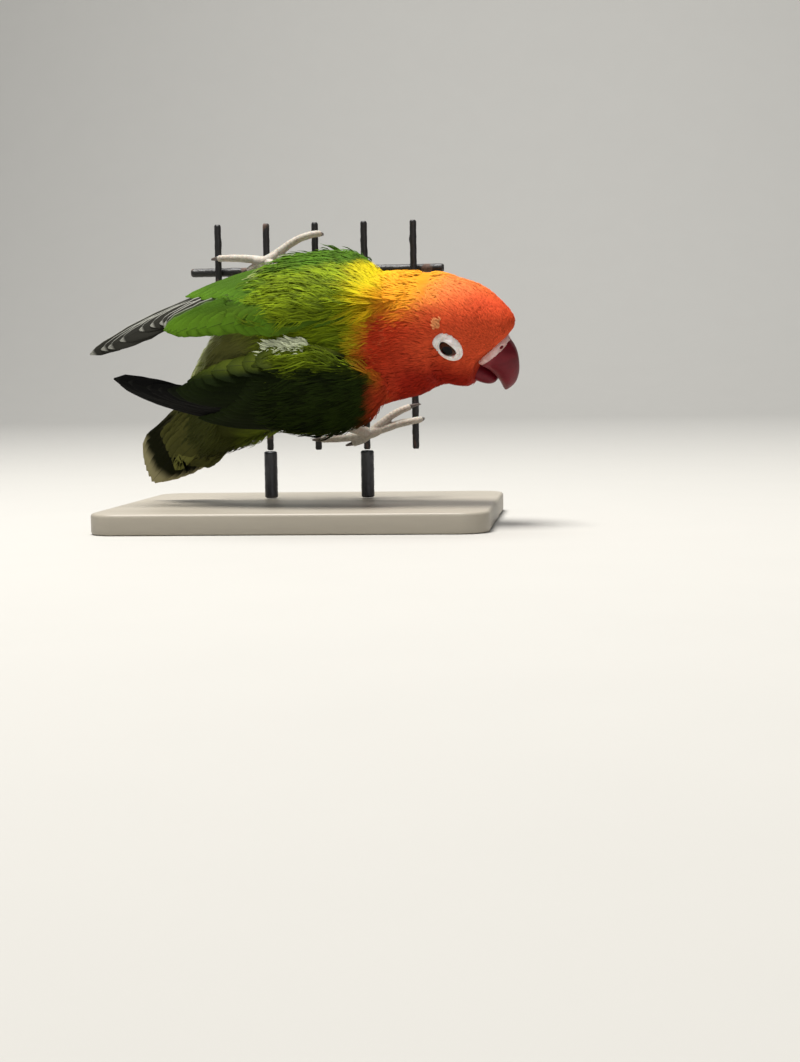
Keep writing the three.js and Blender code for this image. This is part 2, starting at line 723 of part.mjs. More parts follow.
bird.add(
  meshOf("torso", flesh.intersect(behind(NECK_CUT)).intersect(ahead(TAIL_CUT)), green),
  meshOf("neck", flesh.intersect(ahead(NECK_CUT)).intersect(behind(HEAD_CUT)), orange),
  meshOf("head", headSolid(), redOrange),
  meshOf("cere", ceredBill.subtract(nostril(-1)).subtract(nostril(1)), pinkWhite),
  meshOf("bill_upper", hookedBill, crimson),
  meshOf("bill_lower", lowerWhole, crimson),
  meshOf("eye_left", eye(-1), brown),
  meshOf("eye_right", eye(1), brown),
  meshOf("wing_left", wingSolid(LEFT_WING), green),
  meshOf("wing_right", wingSolid(RIGHT_WING), darkGreen),
  meshOf("tail", tailSolid(), olive),
);

for (const [side, leg] of [["left", LEFT_LEG], ["right", RIGHT_LEG]]) {
  const { thigh, shank, foot } = legSolids(leg);
  bird.add(meshOf(`thigh_${side}`, thigh, olive));
  bird.add(meshOf(`shank_${side}`, shank, skinPink));
  bird.add(meshOf(`foot_${side}`, foot, skinPink));
  leg.toes.forEach((toe, i) => bird.add(meshOf(`claw_${side}_${i + 1}`, clawSolid(toe), horn)));
}

const rodTop = WIRE.bottom - GAP;
WIRES.forEach((x, i) => {
  bird.add(meshOf(`perch_wire_${i + 1}`, upright(x, WIRE.bottom, WIRE.top, WIRE.diameter), black));
});
bird.add(meshOf("perch_crossbar", crossbar(), black));
bird.add(meshOf("stand_base", baseSolid(), stand));
ROD.wires.forEach((wire, i) => {
  const rod = upright(WIRES[wire], BASE.height + GAP, rodTop, ROD.diameter);
  bird.add(meshOf(`stand_rod_${i + 1}`, rod, black));
});

export default bird;
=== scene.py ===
"""A lovebird with a white eye ring, clinging to a cut panel of black wires on a plain stand.

Lengths here are millimetres and become metres when a mesh is made.
"""

import json

import bpy
import numpy as np
from mathutils import Matrix, Vector
from mathutils.bvhtree import BVHTree
from mathutils.kdtree import KDTree

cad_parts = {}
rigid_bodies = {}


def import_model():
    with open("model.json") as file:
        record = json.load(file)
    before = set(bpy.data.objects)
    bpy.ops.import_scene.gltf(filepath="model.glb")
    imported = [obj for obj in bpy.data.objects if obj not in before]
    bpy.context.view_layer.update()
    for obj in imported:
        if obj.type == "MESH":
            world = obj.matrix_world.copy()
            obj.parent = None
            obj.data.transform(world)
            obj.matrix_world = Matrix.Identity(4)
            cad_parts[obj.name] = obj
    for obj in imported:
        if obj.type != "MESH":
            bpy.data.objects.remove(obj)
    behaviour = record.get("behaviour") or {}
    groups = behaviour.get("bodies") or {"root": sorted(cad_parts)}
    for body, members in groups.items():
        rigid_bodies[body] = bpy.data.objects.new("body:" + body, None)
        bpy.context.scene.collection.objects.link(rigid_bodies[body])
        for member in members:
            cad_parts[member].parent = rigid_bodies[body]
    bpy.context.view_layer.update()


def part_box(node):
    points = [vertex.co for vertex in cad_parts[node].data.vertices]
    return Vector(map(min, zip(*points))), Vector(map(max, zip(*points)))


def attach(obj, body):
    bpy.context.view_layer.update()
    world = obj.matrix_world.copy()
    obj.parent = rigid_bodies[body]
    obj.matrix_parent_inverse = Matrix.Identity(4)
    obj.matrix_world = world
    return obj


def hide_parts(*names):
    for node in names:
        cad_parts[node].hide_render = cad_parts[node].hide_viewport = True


bl_info = {
    "name": "Lovebird on a wire panel",
    "version": (1, 0, 0),
    "blender": (4, 5, 0),
    "location": "View3D > Sidebar > Lovebird",
    "description": "Skin, plumage, bill, eyes, feet, perch and stand of a life-size lovebird model",
    "category": "Object",
}

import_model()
MM = 0.001


# The bird's build, which the solids share

BODY_STATIONS = [
    ((46, -19.5, 55.4), (15.2, 12.5)),
    ((38, -18.5, 55.6), (20.8, 16.6)),
    ((29, -17, 54.2), (19.6, 16.5)),
    ((19.3, -15, 53.2), (20.4, 17.6)),
    ((9, -13.5, 52.3), (21.4, 18.2)),
    ((0, -12, 51), (21, 17.6)),
    ((-8, -10.5, 47.5), (19.6, 16.4)),
    ((-15.5, -7.5, 42.2), (17.4, 13.6)),
    ((-22.7, -4, 36), (15, 10.4)),
    ((-30.2, -1, 29.7), (11.6, 7.4)),
    ((-36, 1.2, 24), (8.6, 4.6)),
    ((-40, 3, 19.5), (5, 2.4)),
]
SKULL_STATIONS = [
    (-19, 9, -14.5, 11.5),
    (-13, 11.6, -17.4, 13),
    (-7, 12.9, -18.6, 13.4),
    (-1, 14.2, -18.6, 13.2),
    (5, 15, -17, 11.8),
    (10.6, 14, -14, 9.8),
    (15.6, 7.6, -9, 6.6),
]
NAPE_STATIONS = [
    ((26, -17, 54.2), (16.6, 14)),
    ((34, -18.2, 55.4), (17.2, 14.8)),
    ((41.6, -19.3, 56.6), (16, 14.4)),
    ((50, -20.8, 54.6), (12, 11.5)),
]
HEAD_CENTRE = np.array([48.4, -21.4, 56.2])
HEAD_YAW, HEAD_PITCH, HEAD_ROLL = np.radians([8, 25, 36])
EYE = {"forward": 0.2, "up": 0.8, "side": 12.3, "radius": 3.05, "sunk": 1.95, "slant": -30}
RING = {"long": 4.5, "short": 3.3, "corner": 0.5, "open_long": 2.75, "open_short": 1.9, "lower": -0.25}
BILL_EDGE = {"forward": 11.6, "up": -1.3, "slope": 0.6, "band": 2.3, "chin": 8.4}
LEFT_WING_LINES = [
    [(30, -20, 74), (25, -14.5, 78), (15, -11.5, 80.2), (4.5, -10.5, 79.9), (-10, -11, 77.5),
     (-27.6, -13, 70.6), (-45, -16, 62), (-62, -19, 51.6)],
    [(29.5, -31.5, 67), (7.7, -27, 69.6), (-13.4, -26, 65.8), (-31.5, -23, 59.6), (-58, -20, 48.2)],
    [(27, -34.5, 60), (8.4, -33.2, 59), (-11.3, -31, 55.6), (-32.4, -26, 51), (-55, -21, 43.6)],
]
RIGHT_WING_LINES = [
    [(31, -21.5, 33.5), (21.5, -15.5, 28.2), (8, -12.5, 25.2), (-5.3, -11.5, 25.5),
     (-18.4, -12.5, 27.4), (-31, -14.5, 31), (-43.8, -17, 36.2), (-56, -20, 42.6)],
    [(29, -30.5, 39.5), (19, -31, 39), (9.5, -29.8, 38.6), (-7, -28, 37.3), (-20, -25.5, 37.5),
     (-32, -23, 39.2), (-56, -21, 45.4)],
    [(24, -33.5, 47), (9.2, -34.4, 50.4), (-6, -31.5, 49.8), (-19, -28, 47.8), (-30.4, -25, 46),
     (-56, -21, 48.2)],
]
LEFT_TIPS = [(1, 0.1), (0.94, 0.22), (0.86, 0.2), (0.77, 0.3), (0.755, 0.57), (0.66, 0.74), (0.56, 0.82),
             (0.43, 0.96)]
RIGHT_TIPS = [(0.95, 0.06), (0.98, 0.28), (0.9, 0.34), (0.81, 0.4), (0.74, 0.52), (0.69, 0.74), (0.6, 0.9),
              (0.42, 0.96)]
TAIL = {
    "root": (-25, -3.6, 36.4), "tip": (-50.2, 9, 11.6),
    "pairs": 6, "width": 6.4, "layer": 0.62, "spread": 1.3,
}
TOE = {"radius": 1.2, "tip": 0.95}
WIRE_PLANE, WIRE_RADIUS, TOE_GAP = 14, 1, 0.3
ON_WIRE = WIRE_PLANE - WIRE_RADIUS - TOE_GAP - TOE["radius"]
LEFT_LEG = {
    "hip": (2, -6, 62), "ankle": (-4.5, 2.8, 73), "palm": (-14, ON_WIRE - 0.5, 78.4),
    "toes": [
        [(-9.5, ON_WIRE, 81.5), (-4.5, ON_WIRE, 84.6), (0.5, ON_WIRE - 0.2, 86.2), (3, ON_WIRE + 1.3, 86.4)],
        [(-9.5, ON_WIRE, 79.2), (-5, ON_WIRE, 79.4), (0.6, ON_WIRE - 0.2, 79.4), (3, ON_WIRE + 1.4, 79.2)],
        [(-18.5, ON_WIRE, 79.2), (-24, ON_WIRE, 79.6), (-29.2, ON_WIRE - 0.1, 79.6)],
        [(-17, ON_WIRE + 0.2, 77.2), (-20, ON_WIRE + 0.6, 75.6)],
    ],
    "hooks": [(1.6, 17, 86.2), (1.6, 17, 79), (-31.2, 14.6, 79.4), (-22.4, 14.2, 75.2)],
}
RIGHT_LEG = {
    "hip": (11, -6, 38), "ankle": (9.5, 3.6, 29), "palm": (17, ON_WIRE - 0.5, 26),
    "toes": [
        [(21, ON_WIRE, 27.2), (25.5, ON_WIRE, 28.6), (30.4, ON_WIRE - 0.2, 29.6), (33, ON_WIRE + 1.2, 30)],
        [(20.6, ON_WIRE, 29), (25, ON_WIRE, 32), (29.6, ON_WIRE, 34)],
        [(12.5, ON_WIRE, 25), (7, ON_WIRE, 24.4), (1.6, ON_WIRE - 0.2, 24.2)],
        [(14.6, ON_WIRE + 0.2, 24), (11.4, ON_WIRE + 0.6, 22.8)],
    ],
    "hooks": [(31.8, 17, 30), (32.4, 15, 34.4), (-1.4, 14.6, 24), (9, 14.4, 22.4)],
}


# Sizes and colours that a user would change

def colour_setting(name, default, description):
    return bpy.props.FloatVectorProperty(
        name=name, description=description, default=default, subtype="COLOR", size=3, min=0, max=1
    )


def length_setting(name, millimetres, description):
    return bpy.props.FloatProperty(
        name=name, description=description, default=millimetres * MM, unit="LENGTH", min=0
    )


class LovebirdPlumage(bpy.types.PropertyGroup):
    lime: colour_setting("Lime", (0.22, 0.3, 0.008), "Bright streaks of the mantle")
    olive: colour_setting("Olive", (0.1, 0.145, 0.006), "Ground colour of the mantle")
    collar: colour_setting("Collar", (0.66, 0.52, 0.006), "Yellow band of the neck")
    nape: colour_setting("Nape", (0.8, 0.32, 0.014), "Orange of the nape")
    throat: colour_setting("Throat", (0.44, 0.032, 0.009), "Red-orange of the neck's sides and throat")
    crown: colour_setting("Crown", (0.76, 0.2, 0.045), "Red-orange of the crown")
    face: colour_setting("Face", (0.7, 0.085, 0.028), "Red of the forehead and the lores")
    # Partly painted shade: the cheek colour is a deeper red than the face's, and also much darker for the
    # shade on the head's lower side.
    cheek: colour_setting("Cheek", (0.3, 0.015, 0.006), "Deeper red of the cheeks")
    belly: colour_setting("Belly", (0.22, 0.28, 0.03), "Yellow-green of the breast and belly")
    rump: colour_setting("Rump", (0.155, 0.16, 0.04), "Grey-olive of the lower back")
    vent: colour_setting("Vent", (0.04, 0.046, 0.008), "Dark olive by the root of the tail")
    covert_left: colour_setting("Left coverts", (0.055, 0.125, 0.006), "Green of the lit wing")
    # Painted shade: the right wing's coverts and primaries get far darker colours than the left wing's, for
    # the shade that the wing lies in.
    covert_right_painted_shade: colour_setting("Right coverts", (0.006, 0.011, 0.001), "Green of the shaded wing")
    flight_left: colour_setting("Left primaries", (0.032, 0.031, 0.025), "Grey-brown of the lit wing's tip")
    flight_right_painted_shade: colour_setting("Right primaries", (0.003, 0.003, 0.003), "Black of the shaded wing's tip")
    edge: colour_setting("Feather edges", (0.42, 0.42, 0.37), "Pale outer edges of the primaries")
    tail: colour_setting("Tail", (0.07, 0.072, 0.018), "Grey-green of the tail's base and coverts")
    tail_band: colour_setting("Tail band", (0.007, 0.008, 0.001), "Dark band before the tail's tip")
    tail_tip: colour_setting("Tail tip", (0.33, 0.3, 0.16), "Cream tips of the tail")
    down: colour_setting("Down", (0.82, 0.88, 0.6), "Loose white down between the wings")
    coat_body: length_setting("Body coat", 1.5, "How deep the feathers lie over the body")
    coat_head: length_setting("Head coat", 0.8, "How deep the feathers lie over the head")


class LovebirdBareParts(bpy.types.PropertyGroup):
    ring: colour_setting("Eye ring", (0.84, 0.82, 0.8), "Bare white skin round the eye")
    iris: colour_setting("Iris", (0.03, 0.01, 0.004), "Dark brown of the eye")
    bill: colour_setting("Bill", (0.105, 0.003, 0.008), "Crimson of the bill")
    cere: colour_setting("Cere", (0.56, 0.33, 0.31), "Pink-white skin over the bill")
    foot: colour_setting("Foot", (0.48, 0.43, 0.35), "Pink-grey skin of the toes")
    claw: colour_setting("Claw", (0.05, 0.04, 0.035), "Dark horn of the claws")


class LovebirdStand(bpy.types.PropertyGroup):
    wire: colour_setting("Wire", (0.011, 0.01, 0.01), "Worn black paint of the wires")
    rust: colour_setting("Rust", (0.09, 0.035, 0.018), "Rust where the paint is gone")
    board: colour_setting("Board", (0.42, 0.38, 0.31), "Pale board of the stand")
    rod: colour_setting("Rod", (0.05, 0.05, 0.055), "Dark metal of the rods")
    floor: colour_setting("Floor", (0.5, 0.49, 0.46), "Pale studio floor")


def plumage():
    return bpy.context.scene.lovebird_plumage


def bare_parts():
    return bpy.context.scene.lovebird_bare_parts


def stand():
    return bpy.context.scene.lovebird_stand


# Lines, surfaces and frames in millimetres

def unit(vectors):
    vectors = np.asarray(vectors, float)
    return vectors / np.maximum(np.linalg.norm(vectors, axis=-1, keepdims=True), 1e-9)


def mix(a, b, share):
    return a + (b - a) * share


def smoothstep(value, low, high):
    share = np.clip((value - low) / (high - low), 0, 1)
    return share * share * (3 - 2 * share)


def through(values, shares):
    """A smooth line's values at shares of it, from 0 to 1, that count its stations."""
    values = np.asarray(values, float)
    padded = np.vstack([2 * values[0] - values[1], values, 2 * values[-1] - values[-2]])
    place = np.clip(np.asarray(shares, float), 0, 1) * (len(values) - 1)
    low = np.minimum(place.astype(int), len(values) - 2)
    t = (place - low)[:, None]
    a, b, c, d = (padded[low + k] for k in range(4))
    return 0.5 * (2 * b + (c - a) * t + (2 * a - 5 * b + 4 * c - d) * t**2 + (3 * b - a - 3 * c + d) * t**3)


def smooth_line(points, samples):
    """Points at even lengths along a smooth line through the given ones."""
    return even_line(through(points, np.linspace(0, 1, 24 * len(points))), samples)


def even_line(line, samples):
    lengths = np.r_[0, np.cumsum(np.linalg.norm(np.diff(line, axis=0), axis=1))]
    wanted = np.linspace(0, lengths[-1], samples)
    return np.stack([np.interp(wanted, lengths, line[:, k]) for k in range(line.shape[1])], 1)


def along_line(line, share):
    """The point or points at a share of a line whose points are evenly spaced."""
    place = np.clip(np.asarray(share, float), 0, 1) * (len(line) - 1)
    low = np.clip(np.floor(place).astype(int), 0, len(line) - 2)
    rest = (place - low)[..., None]
    return line[low] * (1 - rest) + line[low + 1] * rest


def turned_about(vector, axis, angle):
    return np.array(Matrix.Rotation(angle, 3, Vector(axis)) @ Vector(vector))


HEAD_FORWARD = np.array([
    np.cos(HEAD_PITCH) * np.cos(HEAD_YAW), -np.cos(HEAD_PITCH) * np.sin(HEAD_YAW), -np.sin(HEAD_PITCH)
])
LEVEL_UP = np.cross(unit(np.cross(HEAD_FORWARD, (0, 0, 1))), HEAD_FORWARD)
HEAD_UP = turned_about(LEVEL_UP, HEAD_FORWARD, HEAD_ROLL)
HEAD_SIDE = np.cross(HEAD_FORWARD, HEAD_UP)


def in_head(forward, up, side):
    """A point given forward, up and to the bird's right of the middle between its eyes."""
    forward, up, side = (np.asarray(value, float)[..., None] for value in (forward, up, side))
    return HEAD_CENTRE + HEAD_FORWARD * forward + HEAD_UP * up + HEAD_SIDE * side


def head_share(points):
    """The forward, up and side distances of points from the middle between the eyes."""
    away = np.asarray(points, float) - HEAD_CENTRE
    return away @ HEAD_FORWARD, away @ HEAD_UP, away @ HEAD_SIDE


def feathered_front(up):
    """How far forward the feathers reach at a height on the head, where the cere or the chin begins."""
    edge = BILL_EDGE["forward"] - BILL_EDGE["band"] + BILL_EDGE["slope"] * (up - BILL_EDGE["up"])
    return np.maximum(edge, BILL_EDGE["chin"])


def round_angles(count):
    return np.linspace(0, 2 * np.pi, count, endpoint=False)


def oval(angle, long, short):
    """An oval's radius at angles from its long axis."""
    return 1 / np.sqrt((np.cos(angle) / long) ** 2 + (np.sin(angle) / short) ** 2)


class Wing:
    """A wing's carrier: the surface between its leading, middle and inner lines, by shares from 0 to 1."""

    def __init__(self, name, side, lines, tips, seed, slot):
        self.name, self.side, self.tips, self.seed, self.slot = name, side, tips, seed, slot
        self.lines = [smooth_line(line, 161) for line in lines]

    def point(self, along, across):
        a, b, c = (along_line(line, along) for line in self.lines)
        x = np.asarray(across, float)[..., None]
        return a * (1 - x) * (1 - 2 * x) + b * 4 * x * (1 - x) + c * x * (2 * x - 1)

    def frame(self, along, across, step=0.02):
        """Lengthways, inwards and outwards directions on the surface."""
        along = np.minimum(along, 1 - step)
        lengthways = unit(self.point(along + step, across) - self.point(along, across))
        crossways = self.point(along, across + step) - self.point(along, across - step)
        outwards = unit(np.cross(lengthways, crossways) * self.side)
        return lengthways, unit(np.cross(outwards, lengthways) * self.side), outwards


LEFT_WING = Wing("left", 1, LEFT_WING_LINES, LEFT_TIPS, 11, "green_plumage")
RIGHT_WING = Wing("right", -1, RIGHT_WING_LINES, RIGHT_TIPS, 23, "dark_green_plumage")
WINGS = (LEFT_WING, RIGHT_WING)

BILL_ROOT = in_head(13, -4, 0)
SPINE = smooth_line([place for place, _ in BODY_STATIONS][::-1] + [in_head(-4, -2, 0), BILL_ROOT], 121)


def point_tree(points):
    tree = KDTree(len(points))
    for i, point in enumerate(points):
        tree.insert(point, i)
    tree.balance()
    return tree


def on_spine(points):
    """For each point the number of the spine's nearest point, and the spine's direction there."""
    tree = point_tree(SPINE)
    nearest = np.array([tree.find(point)[1] for point in points])
    return nearest, unit(np.gradient(SPINE, axis=0))[nearest]


# Meshes

def loft_grid(stations, lie, around, along, grow=0.0, fullness=5):
    """Rings of points along stations, each a centre with half sizes across and towards the lie."""
    shares = 0.5 - 0.5 * np.cos(np.linspace(0, np.pi, along + 1))
    places, halves = zip(*stations)
    centre = through(places, shares)
    size = through(halves, shares)
    step = 0.004
    forward = unit(through(places, shares + step) - through(places, shares - step))
    across = unit(np.cross(forward, lie))
    towards = np.cross(across, forward)
    full = np.power(1 - np.abs(2 * shares - 1) ** fullness, 1 / 2.2)
    angle = round_angles(around)[None, :, None]
    wide = ((size[:, 0] + grow) * full)[:, None, None]
    deep = ((size[:, 1] + grow) * full)[:, None, None]
    ends = ((shares - 0.5) * 2 * grow)[:, None, None] * forward[:, None]
    ring = across[:, None] * wide * np.cos(angle) + towards[:, None] * deep * np.sin(angle)
    return centre[:, None] + ring + ends


def grid_faces(rows, columns, closed=True):
    """Quads over a grid of points, joined round where closed."""
    across = columns if closed else columns - 1
    row, column = np.meshgrid(np.arange(rows - 1), np.arange(across), indexing="ij")
    here, after = row * columns + column, row * columns + (column + 1) % columns
    return np.stack([here, after, after + columns, here + columns], -1).reshape(-1, 4)


def tube_faces(rows, columns):
    """The quads of a tube and a fan over each of its ends, as lists."""
    quads = grid_faces(rows, columns).tolist()
    last = (rows - 1) * columns
    return quads + [list(range(columns))[::-1], list(range(last, last + columns))]


def make_piece(name, points, faces):
    """A new smooth-shaded object whose mesh holds the points, given in millimetres."""
    mesh = bpy.data.meshes.new(name)
    places = np.asarray(points, float).reshape(-1, 3) * MM
    mesh.from_pydata(places.tolist(), [], [list(face) for face in faces])
    mesh.polygons.foreach_set("use_smooth", [True] * len(mesh.polygons))
    piece = bpy.data.objects.new(name, mesh)
    bpy.context.collection.objects.link(piece)
    return piece


def choose(*pieces):
    """Selects only these objects, the first of them active."""
    bpy.ops.object.select_all(action="DESELECT")
    for piece in pieces:
        piece.select_set(True)
    bpy.context.view_layer.objects.active = pieces[0]


def face_outwards(piece):
    choose(piece)
    bpy.ops.object.mode_set(mode="EDIT")
    bpy.ops.mesh.select_all(action="SELECT")
    bpy.ops.mesh.remove_doubles(threshold=1e-6)
    bpy.ops.mesh.normals_make_consistent(inside=False)
    bpy.ops.object.mode_set(mode="OBJECT")


def apply_modifier(piece, kind, **settings):
    modifier = piece.modifiers.new(kind.title(), kind)
    for name, value in settings.items():
        setattr(modifier, name, value)
    choose(piece)
    bpy.ops.object.modifier_apply(modifier=modifier.name)


def join_pieces(name, pieces):
    choose(*pieces)
    bpy.ops.object.join()
    pieces[0].name = pieces[0].data.name = name
    return pieces[0]


def loft_piece(name, stations, lie, around=48, along=48, grow=0.0, fullness=5):
    grid = loft_grid(stations, lie, around, along, grow, fullness)
    piece = make_piece(name, grid, tube_faces(along + 1, around))
    face_outwards(piece)
    return piece


def tube_piece(name, centre, lie, radius, around, narrow=1.0):
    """A tube along a line of centres. Its radius is given for each ring or for each point of it, and it can
    be narrower across than towards the lie."""
    forward = unit(np.gradient(centre, axis=0))
    across = unit(np.cross(forward, lie))
    back = np.cross(across, forward)
    angle = round_angles(around)
    radius = radius.reshape(len(centre), -1) * np.ones(around)
    ring = across[:, None] * (radius * np.cos(angle) * narrow)[..., None]
    ring = ring + back[:, None] * (radius * np.sin(angle))[..., None]
    return make_piece(name, centre[:, None] + ring, tube_faces(len(centre), around))


def points_of(piece):
    co = np.empty(len(piece.data.vertices) * 3)
    piece.data.vertices.foreach_get("co", co)
    return co.reshape(-1, 3) / MM


def normals_of(piece):
    normals = np.empty(len(piece.data.vertices) * 3)
    piece.data.vertices.foreach_get("normal", normals)
    return normals.reshape(-1, 3)


def move_points(piece, points):
    piece.data.vertices.foreach_set("co", (np.asarray(points, float) * MM).ravel())
    piece.data.update()


def settle(piece, material, slot, *nodes):
    """Gives a finished piece its material and its body, and hides the nodes that it stands for. Its slot is
    not used.
    """
    piece.data.materials.clear()
    piece.data.materials.append(material)
    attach(piece, "root")
    if nodes:
        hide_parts(*nodes)
    return piece


# Shader graphs

class Graph:
    """A node tree with short calls for the nodes that these materials use."""

    def __init__(self, tree):
        self.tree = tree

    def node(self, kind, **settings):
        node = self.tree.nodes.new(kind)
        for name, value in settings.items():
            setattr(node, name, value)
        return node

    def feed(self, socket, value):
        if isinstance(value, bpy.types.NodeSocket):
            self.tree.links.new(value, socket)
        elif socket.type == "RGBA":
            socket.default_value = (*value[:3], 1)
        else:
            socket.default_value = value

    def math(self, operation, *values):
        node = self.node("ShaderNodeMath", operation=operation)
        for socket, value in zip(node.inputs, values):
            self.feed(socket, value)
        return node.outputs[0]

    def times(self, first, second):
        return self.math("MULTIPLY", first, second)

    def plus(self, first, second):
        return self.math("ADD", first, second)

    def rest(self, share):
        return self.math("SUBTRACT", 1, share)

    def vector(self, operation, *values):
        node = self.node("ShaderNodeVectorMath", operation=operation)
        for socket, value in zip(node.inputs, values):
            self.feed(socket, value)
        return node.outputs["Value" if operation == "DOT_PRODUCT" else "Vector"]

    def scaled(self, vector, factor):
        node = self.node("ShaderNodeVectorMath", operation="SCALE")
        self.feed(node.inputs[0], vector)
        self.feed(node.inputs["Scale"], factor)
        return node.outputs[0]

    def mix(self, share, first, second, blend="MIX"):
        node = self.node("ShaderNodeMix", data_type="RGBA", blend_type=blend)
        self.feed(node.inputs[0], share)
        self.feed(node.inputs[6], first)
        self.feed(node.inputs[7], second)
        return node.outputs[2]

    def fade(self, value, low, high, to_low=0.0, to_high=1.0):
        node = self.node("ShaderNodeMapRange", interpolation_type="SMOOTHSTEP")
        for socket, given in zip(node.inputs, (value, low, high, to_low, to_high)):
            self.feed(socket, given)
        return node.outputs[0]

    def noise(self, place, scale, detail=2.0, roughness=0.5, output="Fac"):
        node = self.node("ShaderNodeTexNoise")
        self.feed(node.inputs["Vector"], place)
        self.feed(node.inputs["Scale"], scale)
        self.feed(node.inputs["Detail"], detail)
        self.feed(node.inputs["Roughness"], roughness)
        return node.outputs[output]

    def stretched(self, place, scale):
        node = self.node("ShaderNodeMapping")
        self.feed(node.inputs["Vector"], place)
        self.feed(node.inputs["Scale"], scale)
        return node.outputs[0]

    def attribute(self, name):
        return self.node("ShaderNodeAttribute", attribute_name=name).outputs

    def objects(self):
        return self.node("ShaderNodeTexCoord").outputs["Object"]

    def parts(self, vector):
        node = self.node("ShaderNodeSeparateXYZ")
        self.feed(node.inputs[0], vector)
        return node.outputs

    def bump(self, height, strength, distance):
        node = self.node("ShaderNodeBump")
        self.feed(node.inputs["Height"], height)
        self.feed(node.inputs["Strength"], strength)
        self.feed(node.inputs["Distance"], distance)
        return node.outputs[0]


MATT = (("Specular IOR Level", 0.06),)
SOFT_SKIN = (("Subsurface Weight", 0.12), ("Subsurface Scale", 0.0008))


def new_group(name, inputs, outputs):
    tree = bpy.data.node_groups.new(name, "ShaderNodeTree")
    for label, kind, value in inputs:
        socket = tree.interface.new_socket(name=label, in_out="INPUT", socket_type=kind)
        socket.default_value = value
    for label, kind in outputs:
        tree.interface.new_socket(name=label, in_out="OUTPUT", socket_type=kind)
    graph = Graph(tree)
    return graph, graph.node("NodeGroupInput").outputs, graph.node("NodeGroupOutput").inputs


def new_material(name, roughness=0.6, constants=()):
    """A material with its graph and its shader's inputs."""
    material = bpy.data.materials.new(name)
    material.use_nodes = True
    shader = material.node_tree.nodes["Principled BSDF"]
    shader.inputs["Roughness"].default_value = roughness
    for label, value in constants:
        shader.inputs[label].default_value = value
    return material, Graph(material.node_tree), shader.inputs


def paint(graph, shader, colour, height, strength, distance):
    """Gives a shader its colour and a bump."""
    graph.feed(shader["Base Color"], colour)
    graph.feed(shader["Normal"], graph.bump(height, strength, distance))


def place_group(graph, tree, **values):
    node = graph.node("ShaderNodeGroup")
    node.node_tree = tree
    for label, value in values.items():
        graph.feed(node.inputs[label.replace("_", " ").title()], value)
    return node.outputs


# The markings, which the skin and every feather share. They are bands and patches in the model's own space.

def marking(graph, place, point, towards, softness):
    """A mask that rises across a plane through a point, given in millimetres."""
    away = graph.vector("SUBTRACT", place, tuple(np.array(point) * MM))
    distance = graph.vector("DOT_PRODUCT", away, tuple(unit(towards)))
    return graph.fade(distance, -softness * MM, softness * MM)


